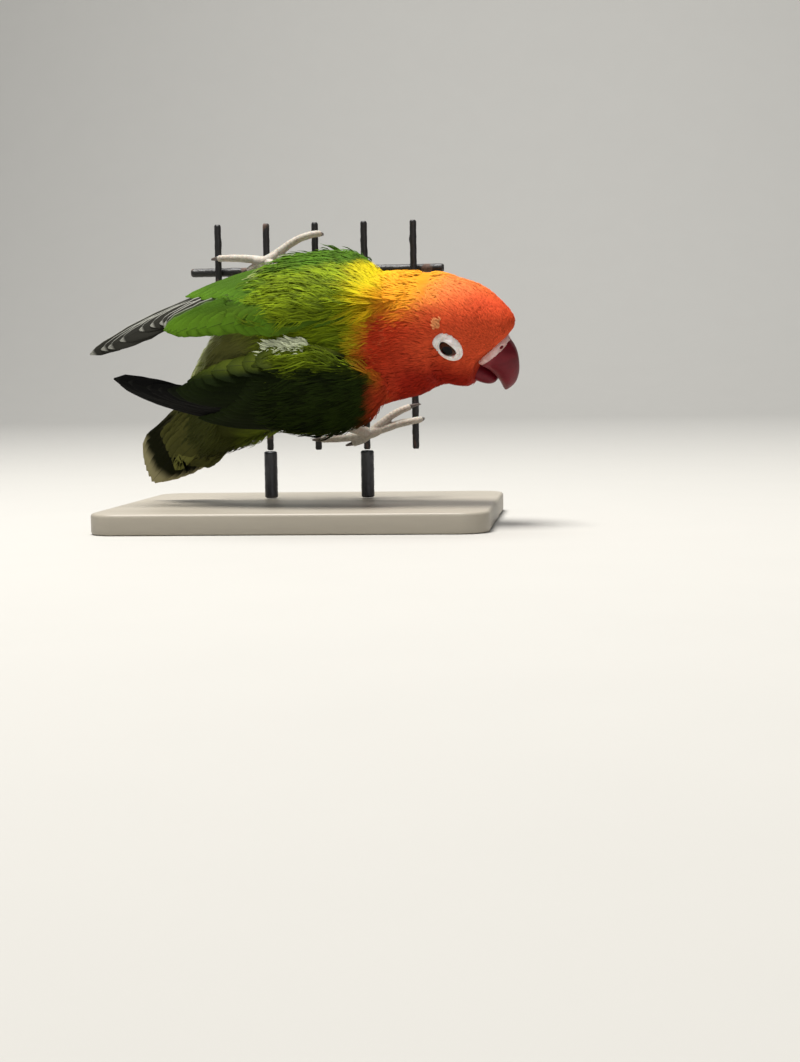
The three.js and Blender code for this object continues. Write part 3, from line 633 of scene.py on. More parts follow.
def marking_group():
    found = bpy.data.node_groups.get("Lovebird markings")
    if found:
        return found
    colours = plumage()
    graph, given, out = new_group(
        "Lovebird markings",
        [("Place", "NodeSocketVector", (0, 0, 0)), ("Tone", "NodeSocketFloat", 0.5),
         ("Share", "NodeSocketFloat", 0.5)],
        [("Color", "NodeSocketColor")],
    )
    cloud = graph.noise(given["Place"], 160, output="Color")
    wander = graph.vector("SUBTRACT", cloud, (0.5, 0.5, 0.5))
    place = graph.vector("ADD", given["Place"], graph.scaled(wander, 0.006))
    tone, share = given["Tone"], given["Share"]

    def band(point, towards, softness):
        return marking(graph, place, point, towards, softness)

    streak = graph.plus(graph.times(tone, 0.75), graph.times(share, 0.4))
    lit = graph.fade(streak, 0.25, 0.95)
    green = np.array(colours.covert_left)
    colour = graph.mix(lit, colours.olive, colours.lime)
    shoulder = graph.mix(lit, green * 0.8, green * 1.25)
    back = band((0, -12, 50), (0, -1, 0), 5)
    low_back = graph.times(band((-9, -24, 54), (-0.95, 0, -0.42), 6), back)
    colour = graph.mix(low_back, colour, colours.rump)
    colour = graph.mix(band((0, -2, 52), (0, 1, -0.15), 7), colour, colours.belly)
    colour = graph.mix(band((-24, -6, 36), (-0.75, -0.1, -0.63), 5), colour, colours.vent)
    upper_edge = band((21, -28, 44.5), (0.765, 0, 0.642), 2)
    over_wing = graph.math("MAXIMUM", upper_edge, graph.rest(back))
    yellow = band((18.5, -25, 62), (1, 0, 0.04), 4.5)
    colour = graph.mix(graph.times(yellow, over_wing), colour, colours.collar)
    lower = band((30, -28, 60.5), (-0.15, -0.2, -0.95), 5.5)
    orange = graph.mix(lower, colours.nape, colours.throat)
    pale_tips = graph.times(graph.fade(share, 0.6, 1), graph.fade(tone, 0.5, 0.9))
    orange = graph.mix(graph.times(pale_tips, 0.15), orange, (0.9, 0.5, 0.2))
    hot = band((23.5, -25, 63), (0.94, 0, -0.34), 4)
    colour = graph.mix(graph.times(hot, over_wing), colour, orange)
    along_wing = graph.times(
        band((-11, -28, 60), (-1, 0, 0.35), 7), band((-20, -24, 57.5), (-0.1, 0, 1), 2.5)
    )
    on_left_wing = graph.math("MAXIMUM", band((14, -20, 74), (-0.07, 0, 1), 1.8), along_wing)
    colour = graph.mix(on_left_wing, colour, shoulder)
    # Painted shade: the body's feathers below the right wing's upper edge take the right wing's dark green.
    under_edge = graph.times(band((0, -30, 45.5), (0, -0.25, -1), 2.5), back)
    shade = np.array(colours.covert_right_painted_shade)
    dark = graph.mix(lit, shade * 0.8, shade * 2.2)
    in_shade = graph.times(under_edge, graph.rest(over_wing))
    colour = graph.mix(in_shade, colour, dark)
    on_head = band(in_head(-12, 0, 0), HEAD_FORWARD, 5)
    colour = graph.mix(on_head, colour, graph.mix(lower, colours.crown, colours.throat))
    front = graph.times(on_head, band((50, -28, 64), (0.6, -0.3, -0.75), 7))
    colour = graph.mix(front, colour, colours.face)
    # Partly painted shade: the head's lower side takes the darker cheek colour.
    low = graph.times(on_head, band(in_head(-3, -4.5, 8), -HEAD_UP, 6))
    colour = graph.mix(low, colour, colours.cheek)
    pale_flank = band((-28.6, -8, 46), (-0.79, 0, 0.61), 1)
    colour = graph.mix(graph.times(pale_flank, 0.8), colour, (0.4, 0.42, 0.2))
    light = graph.fade(graph.plus(tone, graph.times(share, 0.6)), 0, 1.4, 0.72, 1.18)
    level = graph.node("ShaderNodeCombineColor")
    for socket in level.inputs:
        graph.feed(socket, light)
    colour = graph.mix(1.0, colour, level.outputs[0], "MULTIPLY")
    graph.feed(out["Color"], colour)
    return graph.tree


def skin_material():
    material, graph, shader = new_material("Plumage ground", 0.8, MATT)
    place = graph.objects()
    tone = graph.noise(graph.stretched(place, (0.35, 1, 1)), 900, 3)
    marks = place_group(graph, marking_group(), place=place, tone=tone, share=0.2)
    # Painted shade: the ground is the markings with 8% black mixed in, for the gaps between the feathers.
    paint(graph, shader, graph.mix(0.08, marks["Color"], (0, 0, 0)), tone, 0.5, 0.0004)
    return material


def feather_material(name, roughness=0.62):
    """Small feathers: the markings at each feather's root, its own tone, and a lighter tip."""
    material, graph, shader = new_material(name, roughness, MATT)
    share, _, tone = graph.parts(graph.attribute("feather")["Vector"])
    root = graph.attribute("rooted")["Vector"]
    marks = place_group(graph, marking_group(), place=root, tone=tone, share=share)
    graph.feed(shader["Base Color"], marks["Color"])
    return material


def one_tone_material(name, colour):
    """Small feathers of one colour, in slightly different tones."""
    material, graph, shader = new_material(name, 0.85, MATT)
    tone = graph.parts(graph.attribute("feather")["Vector"])[2]
    graph.feed(shader["Base Color"], graph.mix(tone, np.array(colour) * 0.75, colour))
    return material


def finish_vane(graph, shader, colour, share, across):
    """The shaft and the fine barbs that every stiff feather shows."""
    slanted = graph.times(graph.math("ABSOLUTE", across), -22)
    waves = graph.plus(graph.times(share, 90), slanted)
    barbs = graph.math("SINE", graph.times(waves, 3.2))
    shaft = graph.fade(graph.math("ABSOLUTE", across), 0.06, 0.02)
    colour = graph.mix(graph.times(shaft, 0.5), colour, (0.01, 0.012, 0.008))
    paint(graph, shader, colour, barbs, 0.3, 0.0001)


def vane_material(name, ground, dark, edge, rim, inner):
    """Flight feathers and coverts: green, or the primaries' dark grey with a thin pale outer edge."""
    material, graph, shader = new_material(name, 0.62, MATT)
    share, across, tone = graph.parts(graph.attribute("feather")["Vector"])
    darkness = graph.attribute("darkness")["Fac"]
    cloud = graph.noise(graph.objects(), 600, 3)
    light = graph.plus(graph.times(tone, 0.5), graph.times(cloud, 0.5))
    green = graph.mix(light, np.array(ground) * 0.55, np.array(ground) * 1.15)
    green = graph.mix(graph.times(graph.fade(across, 0.1, 0.9), 0.5), green, dark)
    tint, point, towards, softness = inner
    tinted = graph.mix(light, np.array(tint) * 0.7, np.array(tint) * 1.3)
    green = graph.mix(marking(graph, graph.objects(), point, towards, softness), green, tinted)
    grey = graph.mix(light, np.array(dark) * 0.55, np.array(dark) * 1.15)
    colour = graph.mix(darkness, green, grey)
    outline = graph.math("MAXIMUM", graph.fade(across, -0.86, -0.96), graph.fade(share, 0.97, 0.99))
    outline = graph.times(outline, graph.fade(share, 0.3, 0.75))
    colour = graph.mix(graph.times(outline, graph.times(darkness, rim)), colour, edge)
    pale_tip = graph.times(graph.fade(share, 0.78, 1), graph.rest(darkness))
    colour = graph.mix(graph.times(pale_tip, 0.7), colour, np.array(ground) * 1.7)
    finish_vane(graph, shader, colour, share, across)
    return material


def tail_material(name, pale):
    """Tail feathers: grey-green, with a dark band and a cream tip where they aren't the plain coverts."""
    colours = plumage()
    material, graph, shader = new_material(name, 0.65, MATT)
    share, across, tone = graph.parts(graph.attribute("feather")["Vector"])
    cloud = graph.noise(graph.objects(), 500, 3)
    light = graph.plus(graph.times(tone, 0.6), graph.times(cloud, 0.4))
    base = np.array(colours.tail)
    colour = graph.mix(light, base * 0.7, base * 1.6)
    outer = graph.attribute("darkness")["Fac"]
    if pale:
        colour = graph.mix(outer, colour, base * 2.4)
    else:
        colour = graph.mix(graph.fade(share, 0.42, 0.56), colour, colours.tail_band)
        tip = graph.fade(graph.plus(share, graph.times(tone, 0.05)), 0.85, 0.96)
        colour = graph.mix(tip, colour, colours.tail_tip)
        rim = graph.times(graph.fade(graph.math("ABSOLUTE", across), 0.7, 0.85), outer)
        rim = graph.times(rim, graph.fade(share, 0.75, 0.5))
        colour = graph.mix(rim, colour, colours.tail_tip)
    finish_vane(graph, shader, colour, share, across)
    return material


# Feathers

PATCH = 0.003  # a feather's size on the bake map
SOFTNESS = 2.2  # how strongly a coat is shaded like the form under it


def add_attribute(mesh, name, values, kind="FLOAT_VECTOR"):
    layer = mesh.attributes.new(name, kind, "POINT")
    field = "vector" if kind == "FLOAT_VECTOR" else "value"
    layer.data.foreach_set(field, np.asarray(values, np.float32).ravel())


def feather_piece(name, points, triangles, rooted, feather, unwrap, shading, darkness=None):
    """A coat piece. Each corner has its root's place, its shares and tone, the direction that it is shaded
    towards, and its place on the bake map."""
    mesh = bpy.data.meshes.new(name)
    mesh.vertices.add(len(points))
    mesh.vertices.foreach_set("co", (points * MM).astype(np.float32).ravel())
    mesh.loops.add(triangles.size)
    mesh.loops.foreach_set("vertex_index", triangles.astype(np.int32).ravel())
    mesh.polygons.add(len(triangles))
    mesh.polygons.foreach_set("loop_start", np.arange(0, triangles.size, 3, dtype=np.int32))
    mesh.polygons.foreach_set("use_smooth", np.ones(len(triangles), bool))
    mesh.update(calc_edges=True)
    add_attribute(mesh, "rooted", rooted * MM)
    add_attribute(mesh, "feather", feather)
    if darkness is not None:
        add_attribute(mesh, "darkness", darkness, "FLOAT")
    layer = mesh.uv_layers.new(name="OFBake")
    layer.data.foreach_set("uv", unwrap[triangles.ravel()].astype(np.float32).ravel())
    piece = bpy.data.objects.new(name, mesh)
    bpy.context.collection.objects.link(piece)
    mesh.normals_split_custom_set_from_vertices(unit(normals_of(piece) + SOFTNESS * shading).tolist())
    return piece


def unwrap_place(roots):
    """Where roots lie on an unwrap of the skin: their share along the spine, and the angle round it."""
    nearest, direction = on_spine(roots)
    across = unit(np.cross(direction, (0, -1, 0)))
    towards = np.cross(across, direction)
    away = roots - SPINE[nearest]
    slide = (away * direction).sum(1) / 60
    angle = np.arctan2((away * across).sum(1), (away * towards).sum(1))
    share = np.clip(nearest / (len(SPINE) - 1) + slide * 0.02, 0, 1)
    return mix(0.03, 0.97, np.stack([share, angle / (2 * np.pi) + 0.5], 1))


def plume_mesh(roots, normals, tips, tip_normals, width, lift, tone, strands, rings, rng):
    """Plumes on the skin. Each is a few closed three-sided strands that leave one root, lie back along the
    body and part at their tips, so that the plume has a soft, split edge."""
    count = len(roots)
    along = tips - roots
    side = unit(np.cross(along, normals))
    spread = np.linspace(-1, 1, strands)[None, :] + 0.12 * rng.normal(size=(count, strands))
    reach = (1 - 0.3 * spread**2) * (1 + 0.1 * rng.normal(size=(count, strands)))
    ring_shares = np.linspace(0, 1, rings + 1)[:-1]
    girth = (0.45, 1.0, 0.75) if rings > 2 else (0.55, 1.0)
    strand_width = (width / strands * 1.25)[:, None]
    rise = lift[:, None] * (0.75 + 0.5 * rng.random((count, strands)))
    sway = 0.1 * width[:, None] * rng.normal(size=(count, strands))

    def on_strand(share):
        t = (share * reach)[..., None]
        path = roots[:, None] + along[:, None] * t
        bulge = 4 * share * (1 - share) * 0.35 + share
        height = (rise * bulge - 0.35 * (1 - share))[..., None]
        up = unit(normals[:, None] * (1 - share) + tip_normals[:, None] * share)
        fan = min(1, 1.7 * share + 0.15) * (1 - 0.25 * share)
        offset = (spread * width[:, None] * 0.5 * fan + sway * share**2)[..., None]
        return path + side[:, None] * offset + up * height, up

    corners = []
    for share, wide in zip(ring_shares, girth):
        centre, up = on_strand(share)
        half = (strand_width * wide * 0.5)[..., None] * np.ones((count, strands, 1))
        aside = side[:, None] * half
        corners += [centre - aside, centre + aside, centre + up * half * 0.5]
    corners.append(on_strand(1.0)[0])
    points = np.stack(corners, 2)
    per_strand = points.shape[2]
    faces = []
    for ring in range(rings - 1):
        for k in range(3):
            a, b = ring * 3 + k, ring * 3 + (k + 1) % 3
            faces += [(a, b, b + 3), (a, b + 3, a + 3)]
    last = (rings - 1) * 3
    faces += [(last + k, last + (k + 1) % 3, per_strand - 1) for k in range(3)]
    faces.append((2, 1, 0))
    faces = np.array(faces)[:, ::-1]
    starts = np.arange(count * strands)[:, None, None] * per_strand
    triangles = (faces[None] + starts).reshape(-1, 3)
    shares = np.append(np.repeat(ring_shares, 3), 1.0)
    share_grid = np.broadcast_to(shares, (count, strands, per_strand))
    across_grid = np.broadcast_to(spread[..., None], share_grid.shape)
    tones = np.clip(tone[:, None] + 0.14 * rng.normal(size=(count, strands)), 0, 1)
    tone_grid = np.broadcast_to(tones[..., None], share_grid.shape)
    rooted = roots[:, None, None] + along[:, None, None] * (0.5 * share_grid[..., None])
    feather = np.stack([share_grid, across_grid, tone_grid], -1)
    base = unwrap_place(roots)[:, None, None]
    patch_place = np.stack([share_grid - 0.5, np.clip(across_grid, -1, 1) * 0.5], -1) * PATCH
    unwrap = np.clip(base + patch_place, 0, 1)
    shading = np.broadcast_to(unit(normals + tip_normals)[:, None, None], points.shape)
    flat = [a.reshape(-1, a.shape[-1]) for a in (points, rooted, feather, unwrap, shading)]
    return flat[0], triangles, *flat[1:]


def vane_half(shares, pointed, least):
    """Half of a vane's outline: it widens from its root, and rounds off past a share of its length."""
    widening = mix(0.55, 1, np.minimum(1, shares * 3))
    past = np.maximum(0, (shares - pointed) / (1.001 - pointed))
    return widening * np.maximum(least, np.sqrt(np.maximum(0, 1 - past**2.2))) * 0.5


def vane_grid(path, width, outline, thickness, tone, darkness, unwrap_at, steps):
    """One closed vane with a raised shaft. path(shares) gives its middle line with across and outward
    directions, and outline its half width at each share on the outer and the inner side."""
    shares = np.linspace(0, 1, steps + 1) ** 0.8
    across_shares = np.array([-1, -0.62, -0.1, 0, 0.1, 0.55, 1])
    centre, across, outward = path(shares)
    outer, inner = outline(shares)
    half = np.where(across_shares[None] < 0, outer[:, None], inner[:, None]) * width
    offset = across_shares[None] * half
    camber = -0.05 * width * across_shares[None] ** 2
    shaft = 0.5 * thickness * (np.abs(across_shares[None]) < 0.05) * (1 - 0.6 * shares[:, None])
    middle = centre[:, None] + across[:, None] * offset[..., None]
    middle = middle + outward[:, None] * (camber + shaft)[..., None]
    thin = thickness * (1 - 0.75 * across_shares[None] ** 2) * mix(1, 0.5, shares[:, None])
    lower = middle - outward[:, None] * thin[..., None]
    rows, columns = middle.shape[:2]
    upper_quads = grid_faces(rows, columns, closed=False)
    count = rows * columns
    lower_quads = upper_quads[:, ::-1] + count
    ring = np.concatenate([
        np.arange(columns), np.arange(1, rows) * columns + columns - 1,
        (rows - 1) * columns + np.arange(columns - 2, -1, -1), np.arange(rows - 2, 0, -1) * columns,
    ])
    after = np.roll(ring, -1)
    edge_quads = np.stack([ring, ring + count, after + count, after], 1)
    quads = np.concatenate([upper_quads, lower_quads, edge_quads])
    points = np.concatenate([middle.reshape(-1, 3), lower.reshape(-1, 3)])
    a, b, c = points[quads[0, :3]]
    if np.dot(np.cross(b - a, c - a), outward[0]) < 0:
        quads = quads[:, ::-1]
    triangles = np.concatenate([quads[:, [0, 1, 2]], quads[:, [0, 2, 3]]])
    share_grid = np.tile(np.broadcast_to(shares[:, None], (rows, columns)).ravel(), 2)
    across_grid = np.tile(np.broadcast_to(across_shares[None], (rows, columns)).ravel(), 2)
    feather = np.stack([share_grid, across_grid, np.full(2 * count, tone)], 1)
    unwrap = np.array(unwrap_at) + np.stack([share_grid - 0.5, across_grid * 0.5], 1) * PATCH
    rooted = np.broadcast_to(centre[0], points.shape) + 0.5 * (points - centre[0])
    upper = np.broadcast_to(outward[:, None], middle.shape).reshape(-1, 3)
    shading = np.concatenate([upper, -upper])
    return points, triangles, rooted, feather, np.clip(unwrap, 0, 1), shading, np.full(2 * count, darkness)


def gather(parts):
    """Puts several small meshes, each points, triangles and values, into one set of arrays."""
    starts = np.cumsum([0] + [len(part[0]) for part in parts[:-1]])
    triangles = np.concatenate([part[1] + start for part, start in zip(parts, starts)])
    others = [np.concatenate([part[k] for part in parts]) for k in range(2, len(parts[0]))]
    return (np.concatenate([part[0] for part in parts]), triangles, *others)


# The skin

def thigh_stations(leg):
    hip, ankle = np.array(leg["hip"], float), np.array(leg["ankle"], float)
    return [(hip, (7.5, 6.5)), (mix(hip, ankle, 0.6), (5.4, 5)), (ankle, (2.4, 2.4))]


def arm_height(along, across):
    """How high the arm's skin stands over the wing's surface: it sinks under the flight feathers."""
    return mix(-1.8, 0.3, smoothstep(along, 0, 0.2)) - 1.9 * smoothstep(along, 0.3, 0.5) - 0.3 * across


def arm_piece(wing):
    """The fleshy arm: a rounded plate from the bend of the wing to where the flight feathers leave it."""
    around, rings = 40, 30
    angle = round_angles(around)
    polar = np.linspace(0.02, np.pi - 0.02, rings + 1)
    x = -np.cos(polar)[:, None] * np.ones(around)
    y, z = np.sin(polar)[:, None] * np.cos(angle), np.sin(polar)[:, None] * np.sin(angle)

    def squared(value):
        return np.sign(value) * np.abs(value) ** 0.75

    along, across = mix(0.02, 0.5, (1 + squared(x)) / 2), mix(0.04, 0.97, (1 + squared(y)) / 2)
    _, _, outwards = wing.frame(along, across)
    under = 5.2 * np.maximum(0, -z)
    height = arm_height(along, across) - 0.7 * (1 - np.maximum(0, z)) - under
    grid = wing.point(along, across) + outwards * height[..., None]
    piece = make_piece(f"arm_{wing.name}", grid, tube_faces(rings + 1, around))
    face_outwards(piece)
    return piece


def cut_for_bill(piece):
    """Flattens the front of the head where the cere and the bill leave it."""
    forward, up, side = head_share(points_of(piece))
    move_points(piece, in_head(np.minimum(forward, feathered_front(up) - 0.5), up, side))


class LOVEBIRD_OT_skin(bpy.types.Operator):
    """Builds one seamless skin under the coat, from the body, head, thighs and arms"""

    bl_idname = "lovebird.skin"
    bl_label = "Skin"

    def execute(self, context):
        skull = [
            (in_head(forward, (top + bottom) / 2, 0), (half, (top - bottom) / 2))
            for forward, top, bottom, half in SKULL_STATIONS
        ]
        coat_body, coat_head = plumage().coat_body / MM, plumage().coat_head / MM
        head = loft_piece("head_form", skull, HEAD_UP, 96, 110, -coat_head, 3)
        cut_for_bill(head)
        pieces = [
            loft_piece("body_form", BODY_STATIONS, (0, -1, 0), 72, 72, -coat_body),
            head,
            loft_piece("nape_form", NAPE_STATIONS, (0, -1, 0), 64, 64, -coat_head),
            loft_piece("thigh_form_left", thigh_stations(LEFT_LEG), (0, -1, 0), 24, 20, -0.8, 4),
            loft_piece("thigh_form_right", thigh_stations(RIGHT_LEG), (0, -1, 0), 24, 20, -0.8, 4),
            *[arm_piece(wing) for wing in WINGS],
        ]
        skin = join_pieces("bird_skin", pieces)
        apply_modifier(skin, "REMESH", mode="VOXEL", voxel_size=0.6 * MM)
        apply_modifier(skin, "SMOOTH", factor=0.5, iterations=12)
        bpy.ops.object.shade_smooth()
        settle(skin, skin_material(), "green_plumage", "torso", "neck", "head", "thigh_left", "thigh_right")
        return {"FINISHED"}


# Where each small feather stands and how it lies

def spaced(points, spacing, rng):
    """Picks points at random so that no two stand nearer than their spacing."""
    cell = float(spacing.max())
    cells = np.floor(points / cell).astype(int)
    neighbours = [(dx, dy, dz) for dx in (-1, 0, 1) for dy in (-1, 0, 1) for dz in (-1, 0, 1)]
    taken = {}
    kept = []
    for i in rng.permutation(len(points)):
        x, y, z = cells[i]
        near = [taken[key] for d in neighbours if (key := (x + d[0], y + d[1], z + d[2])) in taken]
        others = points[sum(near, [])]
        if len(others) and ((others - points[i]) ** 2).sum(1).min() < spacing[i] ** 2:
            continue
        taken.setdefault((x, y, z), []).append(i)
        kept.append(i)
    return np.array(kept)


def laid_flat(lie, normals):
    return unit(lie - normals * (lie * normals).sum(1)[:, None])


def lie_of_coat(points, normals):
    """The direction in which the feathers lie at each point: away from the bill, then along the body."""
    forward, _, _ = head_share(points)
    on_head = smoothstep(forward, -16, -4)[:, None]
    lie = -on_spine(points)[1] * (1 - on_head) + unit(points - BILL_ROOT) * on_head
    return laid_flat(lie, normals)


def wing_shares(points):
    """For each point the nearest wing, the point's shares along and across it, its height over the wing's
    surface, its distance from it, and the wing's direction there."""
    along, across = np.meshgrid(np.linspace(0, 0.6, 61), np.linspace(0, 1, 41), indexing="ij")
    grids = [wing.point(along, across).reshape(-1, 3) for wing in WINGS]
    surface = np.concatenate(grids)
    tree = point_tree(surface)
    found = [tree.find(point) for point in points]
    index = np.array([hit[1] for hit in found])
    which, inside = np.divmod(index, along.size)
    along, across = along.ravel()[inside], across.ravel()[inside]
    left, right = (wing.frame(along, across) for wing in WINGS)
    lengthways, outwards = (np.where(which[:, None] == 0, left[k], right[k]) for k in (0, 2))
    height = ((points - surface[index]) * outwards).sum(1)
    return which, along, across, height, np.array([hit[2] for hit in found]), lengthways


def eye_frame(side):
    """The eye's centre and its forward, up and outward directions, for the bird's left (-1) or right (1)."""
    outward = unit(HEAD_SIDE * side + HEAD_FORWARD * 0.2)
    centre = in_head(EYE["forward"], EYE["up"], side * EYE["side"]) - outward * EYE["sunk"]
    forwards = unit(np.cross(HEAD_UP, outward))
    upwards = np.cross(outward, forwards)
    slant = np.radians(EYE["slant"]) * side
    turned = forwards * np.cos(slant) + upwards * np.sin(slant)
    return centre, turned, np.cross(outward, turned), outward


def ring_reach(angle):
    """The outer edge of the bare ring at an angle from the eye's long axis, drawn out at its rear corner."""
    from_corner = (angle - np.radians(205) + np.pi) % (2 * np.pi) - np.pi
    corner = RING["corner"] * np.exp(-((from_corner / 0.3) ** 2))
    return oval(angle, RING["long"], RING["short"]) + corner


def outside_eye_rings(points):
    clear = np.ones(len(points), bool)
    for side in (-1, 1):
        centre, along, up, outward = eye_frame(side)
        away = points - (centre - up * RING["lower"])
        x, y = away @ along, away @ up
        reach = ring_reach(np.arctan2(y, side * x))
        clear &= (np.hypot(x, y) > reach - 0.3) | (away @ outward < -1)
    return clear


class Coat:
    """The skin's points, with the normal, the lie of the coat and the place on head and wings at each."""

    def __init__(self):
        skin = bpy.data.objects["bird_skin"]
        self.points, self.normals = points_of(skin), normals_of(skin)
        self.tree = BVHTree.FromObject(skin, bpy.context.evaluated_depsgraph_get())
        skin.data.calc_loop_triangles()
        self.triangles = np.array([triangle.vertices for triangle in skin.data.loop_triangles])
        a, b, c = (self.points[self.triangles[:, k]] for k in range(3))
        self.areas = np.linalg.norm(np.cross(b - a, c - a), axis=1) / 2
        self.forward, self.up, self.side = head_share(self.points)
        self.wing, self.along, self.across, height, distance, lengthways = wing_shares(self.points)
        outside = (distance < ARM_REACH) & (height > -3) & (self.normals[:, 1] < 0.5)
        self.on_wing = outside & (self.across < 0.97) & (self.along > 0.01)
        self.bare_arm = (distance < 4.5) & (self.along > 0.34) & ~self.on_wing
        lie = lie_of_coat(self.points, self.normals)
        on_arm = (smoothstep(distance, 4.5, 1.5) * (height > -3.5))[:, None]
        self.lie = laid_flat(lie * (1 - on_arm) + lengthways * on_arm, self.normals)

    def nearest(self, points):
        """The nearest skin points and normals."""
        found = [self.tree.find_nearest(Vector(point * MM)) for point in points]
        return np.array([hit[0] for hit in found]) / MM, np.array([hit[1] for hit in found])

    def seen_at(self, x, z):
        """The skin point that faces the back's side at a width and a height."""
        before_back = -80
        hit = self.tree.ray_cast(Vector((x, before_back, z)) * MM, Vector((0, 1, 0)))
        return np.array(hit[0]) / MM

    def scatter(self, where, spacing, rng):
        """Roots spread over the skin where a mask of its points is true, as triangles and weights."""
        usable = where[self.triangles].all(1)
        room = spacing[self.triangles].mean(1) * 1
        drawn = rng.poisson(TRIES * usable * self.areas / room**2)
        faces = np.repeat(np.arange(len(self.triangles)), drawn)
        first, second = np.sqrt(rng.random(len(faces))), rng.random(len(faces))
        weights = np.stack([1 - first, first * (1 - second), first * second], 1)
        places = (self.points[self.triangles[faces]] * weights[..., None]).sum(1)
        kept = spaced(places, room[faces], rng)
        return self.triangles[faces[kept]], weights[kept]


def at_roots(values, corners, weights):
    """Values of the skin's points carried to roots between them."""
    picked = values[corners]
    return (picked * weights.reshape(weights.shape + (1,) * (picked.ndim - 2))).sum(1)


COATS = {}
TRIES = 3.2  # how many roots are drawn for each that could find room
ARM_REACH = 3.4  # how far from a wing's surface the skin still belongs to its arm


def coat():
    """The coat's ground, worked out once for the skin that is in the scene."""
    if "ground" not in COATS:
        COATS["ground"] = Coat()
    return COATS["ground"]


def grow_plumes(
    name, where, spacing, length, width, lift, strands, rings, seed, material, slot, ruffle=0.12, uneven=0.17
):
    """One coat piece: plumes on the chosen part of the skin. Sizes are numbers or arrays over its points."""
    here = coat()
    rng = np.random.default_rng(seed)
    full = np.ones(len(here.points))
    corners, weights = here.scatter(where, spacing * full, rng)
    count = len(corners)
    roots = at_roots(here.points, corners, weights)
    normals, lie = (unit(at_roots(values, corners, weights)) for values in (here.normals, here.lie))
    size, wide, rise = (at_roots(values * full, corners, weights) for values in (length, width, lift))
    lie = unit(lie + np.cross(normals, lie) * (ruffle * rng.normal(size=count))[:, None])
    size = size * (1 + 0.12 * rng.normal(size=count))
    landed, tip_normals = here.nearest(roots + lie * size[:, None])
    tips = roots + unit(landed - roots) * size[:, None]
    slow = np.sin(roots @ np.array([0.5, 0.9, 0.7])) * np.sin(roots @ np.array([-0.8, 0.3, 0.6]))
    tone = np.clip(0.5 + 0.16 * slow + uneven * rng.normal(size=count), 0, 1)
    rise = rise * (1 + 0.2 * rng.normal(size=count))
    mesh = plume_mesh(roots, normals, tips, tip_normals, wide, rise, tone, strands, rings, rng)
    return settle(feather_piece(name, *mesh), material, slot)


class LOVEBIRD_OT_head_plumage(bpy.types.Operator):
    """Covers the face, crown and cheeks with fine short feathers that grow longer towards the nape"""

    bl_idname = "lovebird.head_plumage"
    bl_label = "Head plumage"

    def execute(self, context):
        here = coat()
        material = feather_material("Head feathers")
        forward = here.forward
        beside_bill = (forward > feathered_front(here.up) - 1) & (np.abs(here.side) < 5.4) & (here.up > -14)
        clear = outside_eye_rings(here.points) & ~beside_bill
        back = smoothstep(forward, 9, -14)
        spacing, length = mix(0.52, 0.9, back), mix(1.6, 4.8, back)
        width, lift = mix(1.1, 2.6, back), mix(0.3, 0.5, back)
        head = clear & (forward > -14) & ~here.on_wing
        for name, where, strands, seed, slot in (
            ("coat_face", head & (forward > 1), 4, 31, "red_plumage"),
            ("coat_crown", head & (forward <= 1) & (here.up > -3), 5, 32, "orange_plumage"),
            ("coat_cheek", head & (forward <= 1) & (here.up <= -3), 5, 33, "red_plumage"),
        ):
            grow_plumes(
                name, where, spacing, length, width, lift, strands, 2, seed, material, slot, 0.08, 0.09
            )
        centre, _ = here.nearest([in_head(-4.9, 7.2, 12.3)])
        spot = np.linalg.norm(here.points - centre, axis=1) < 1.2
        pale = one_tone_material("Ruffled feathers", (0.95, 0.36, 0.14))
        grow_plumes("coat_ruffled_spot", spot, 0.5, 2, 1.7, 1.3, 4, 3, 34, pale, "orange_plumage", 0.2)
        return {"FINISHED"}


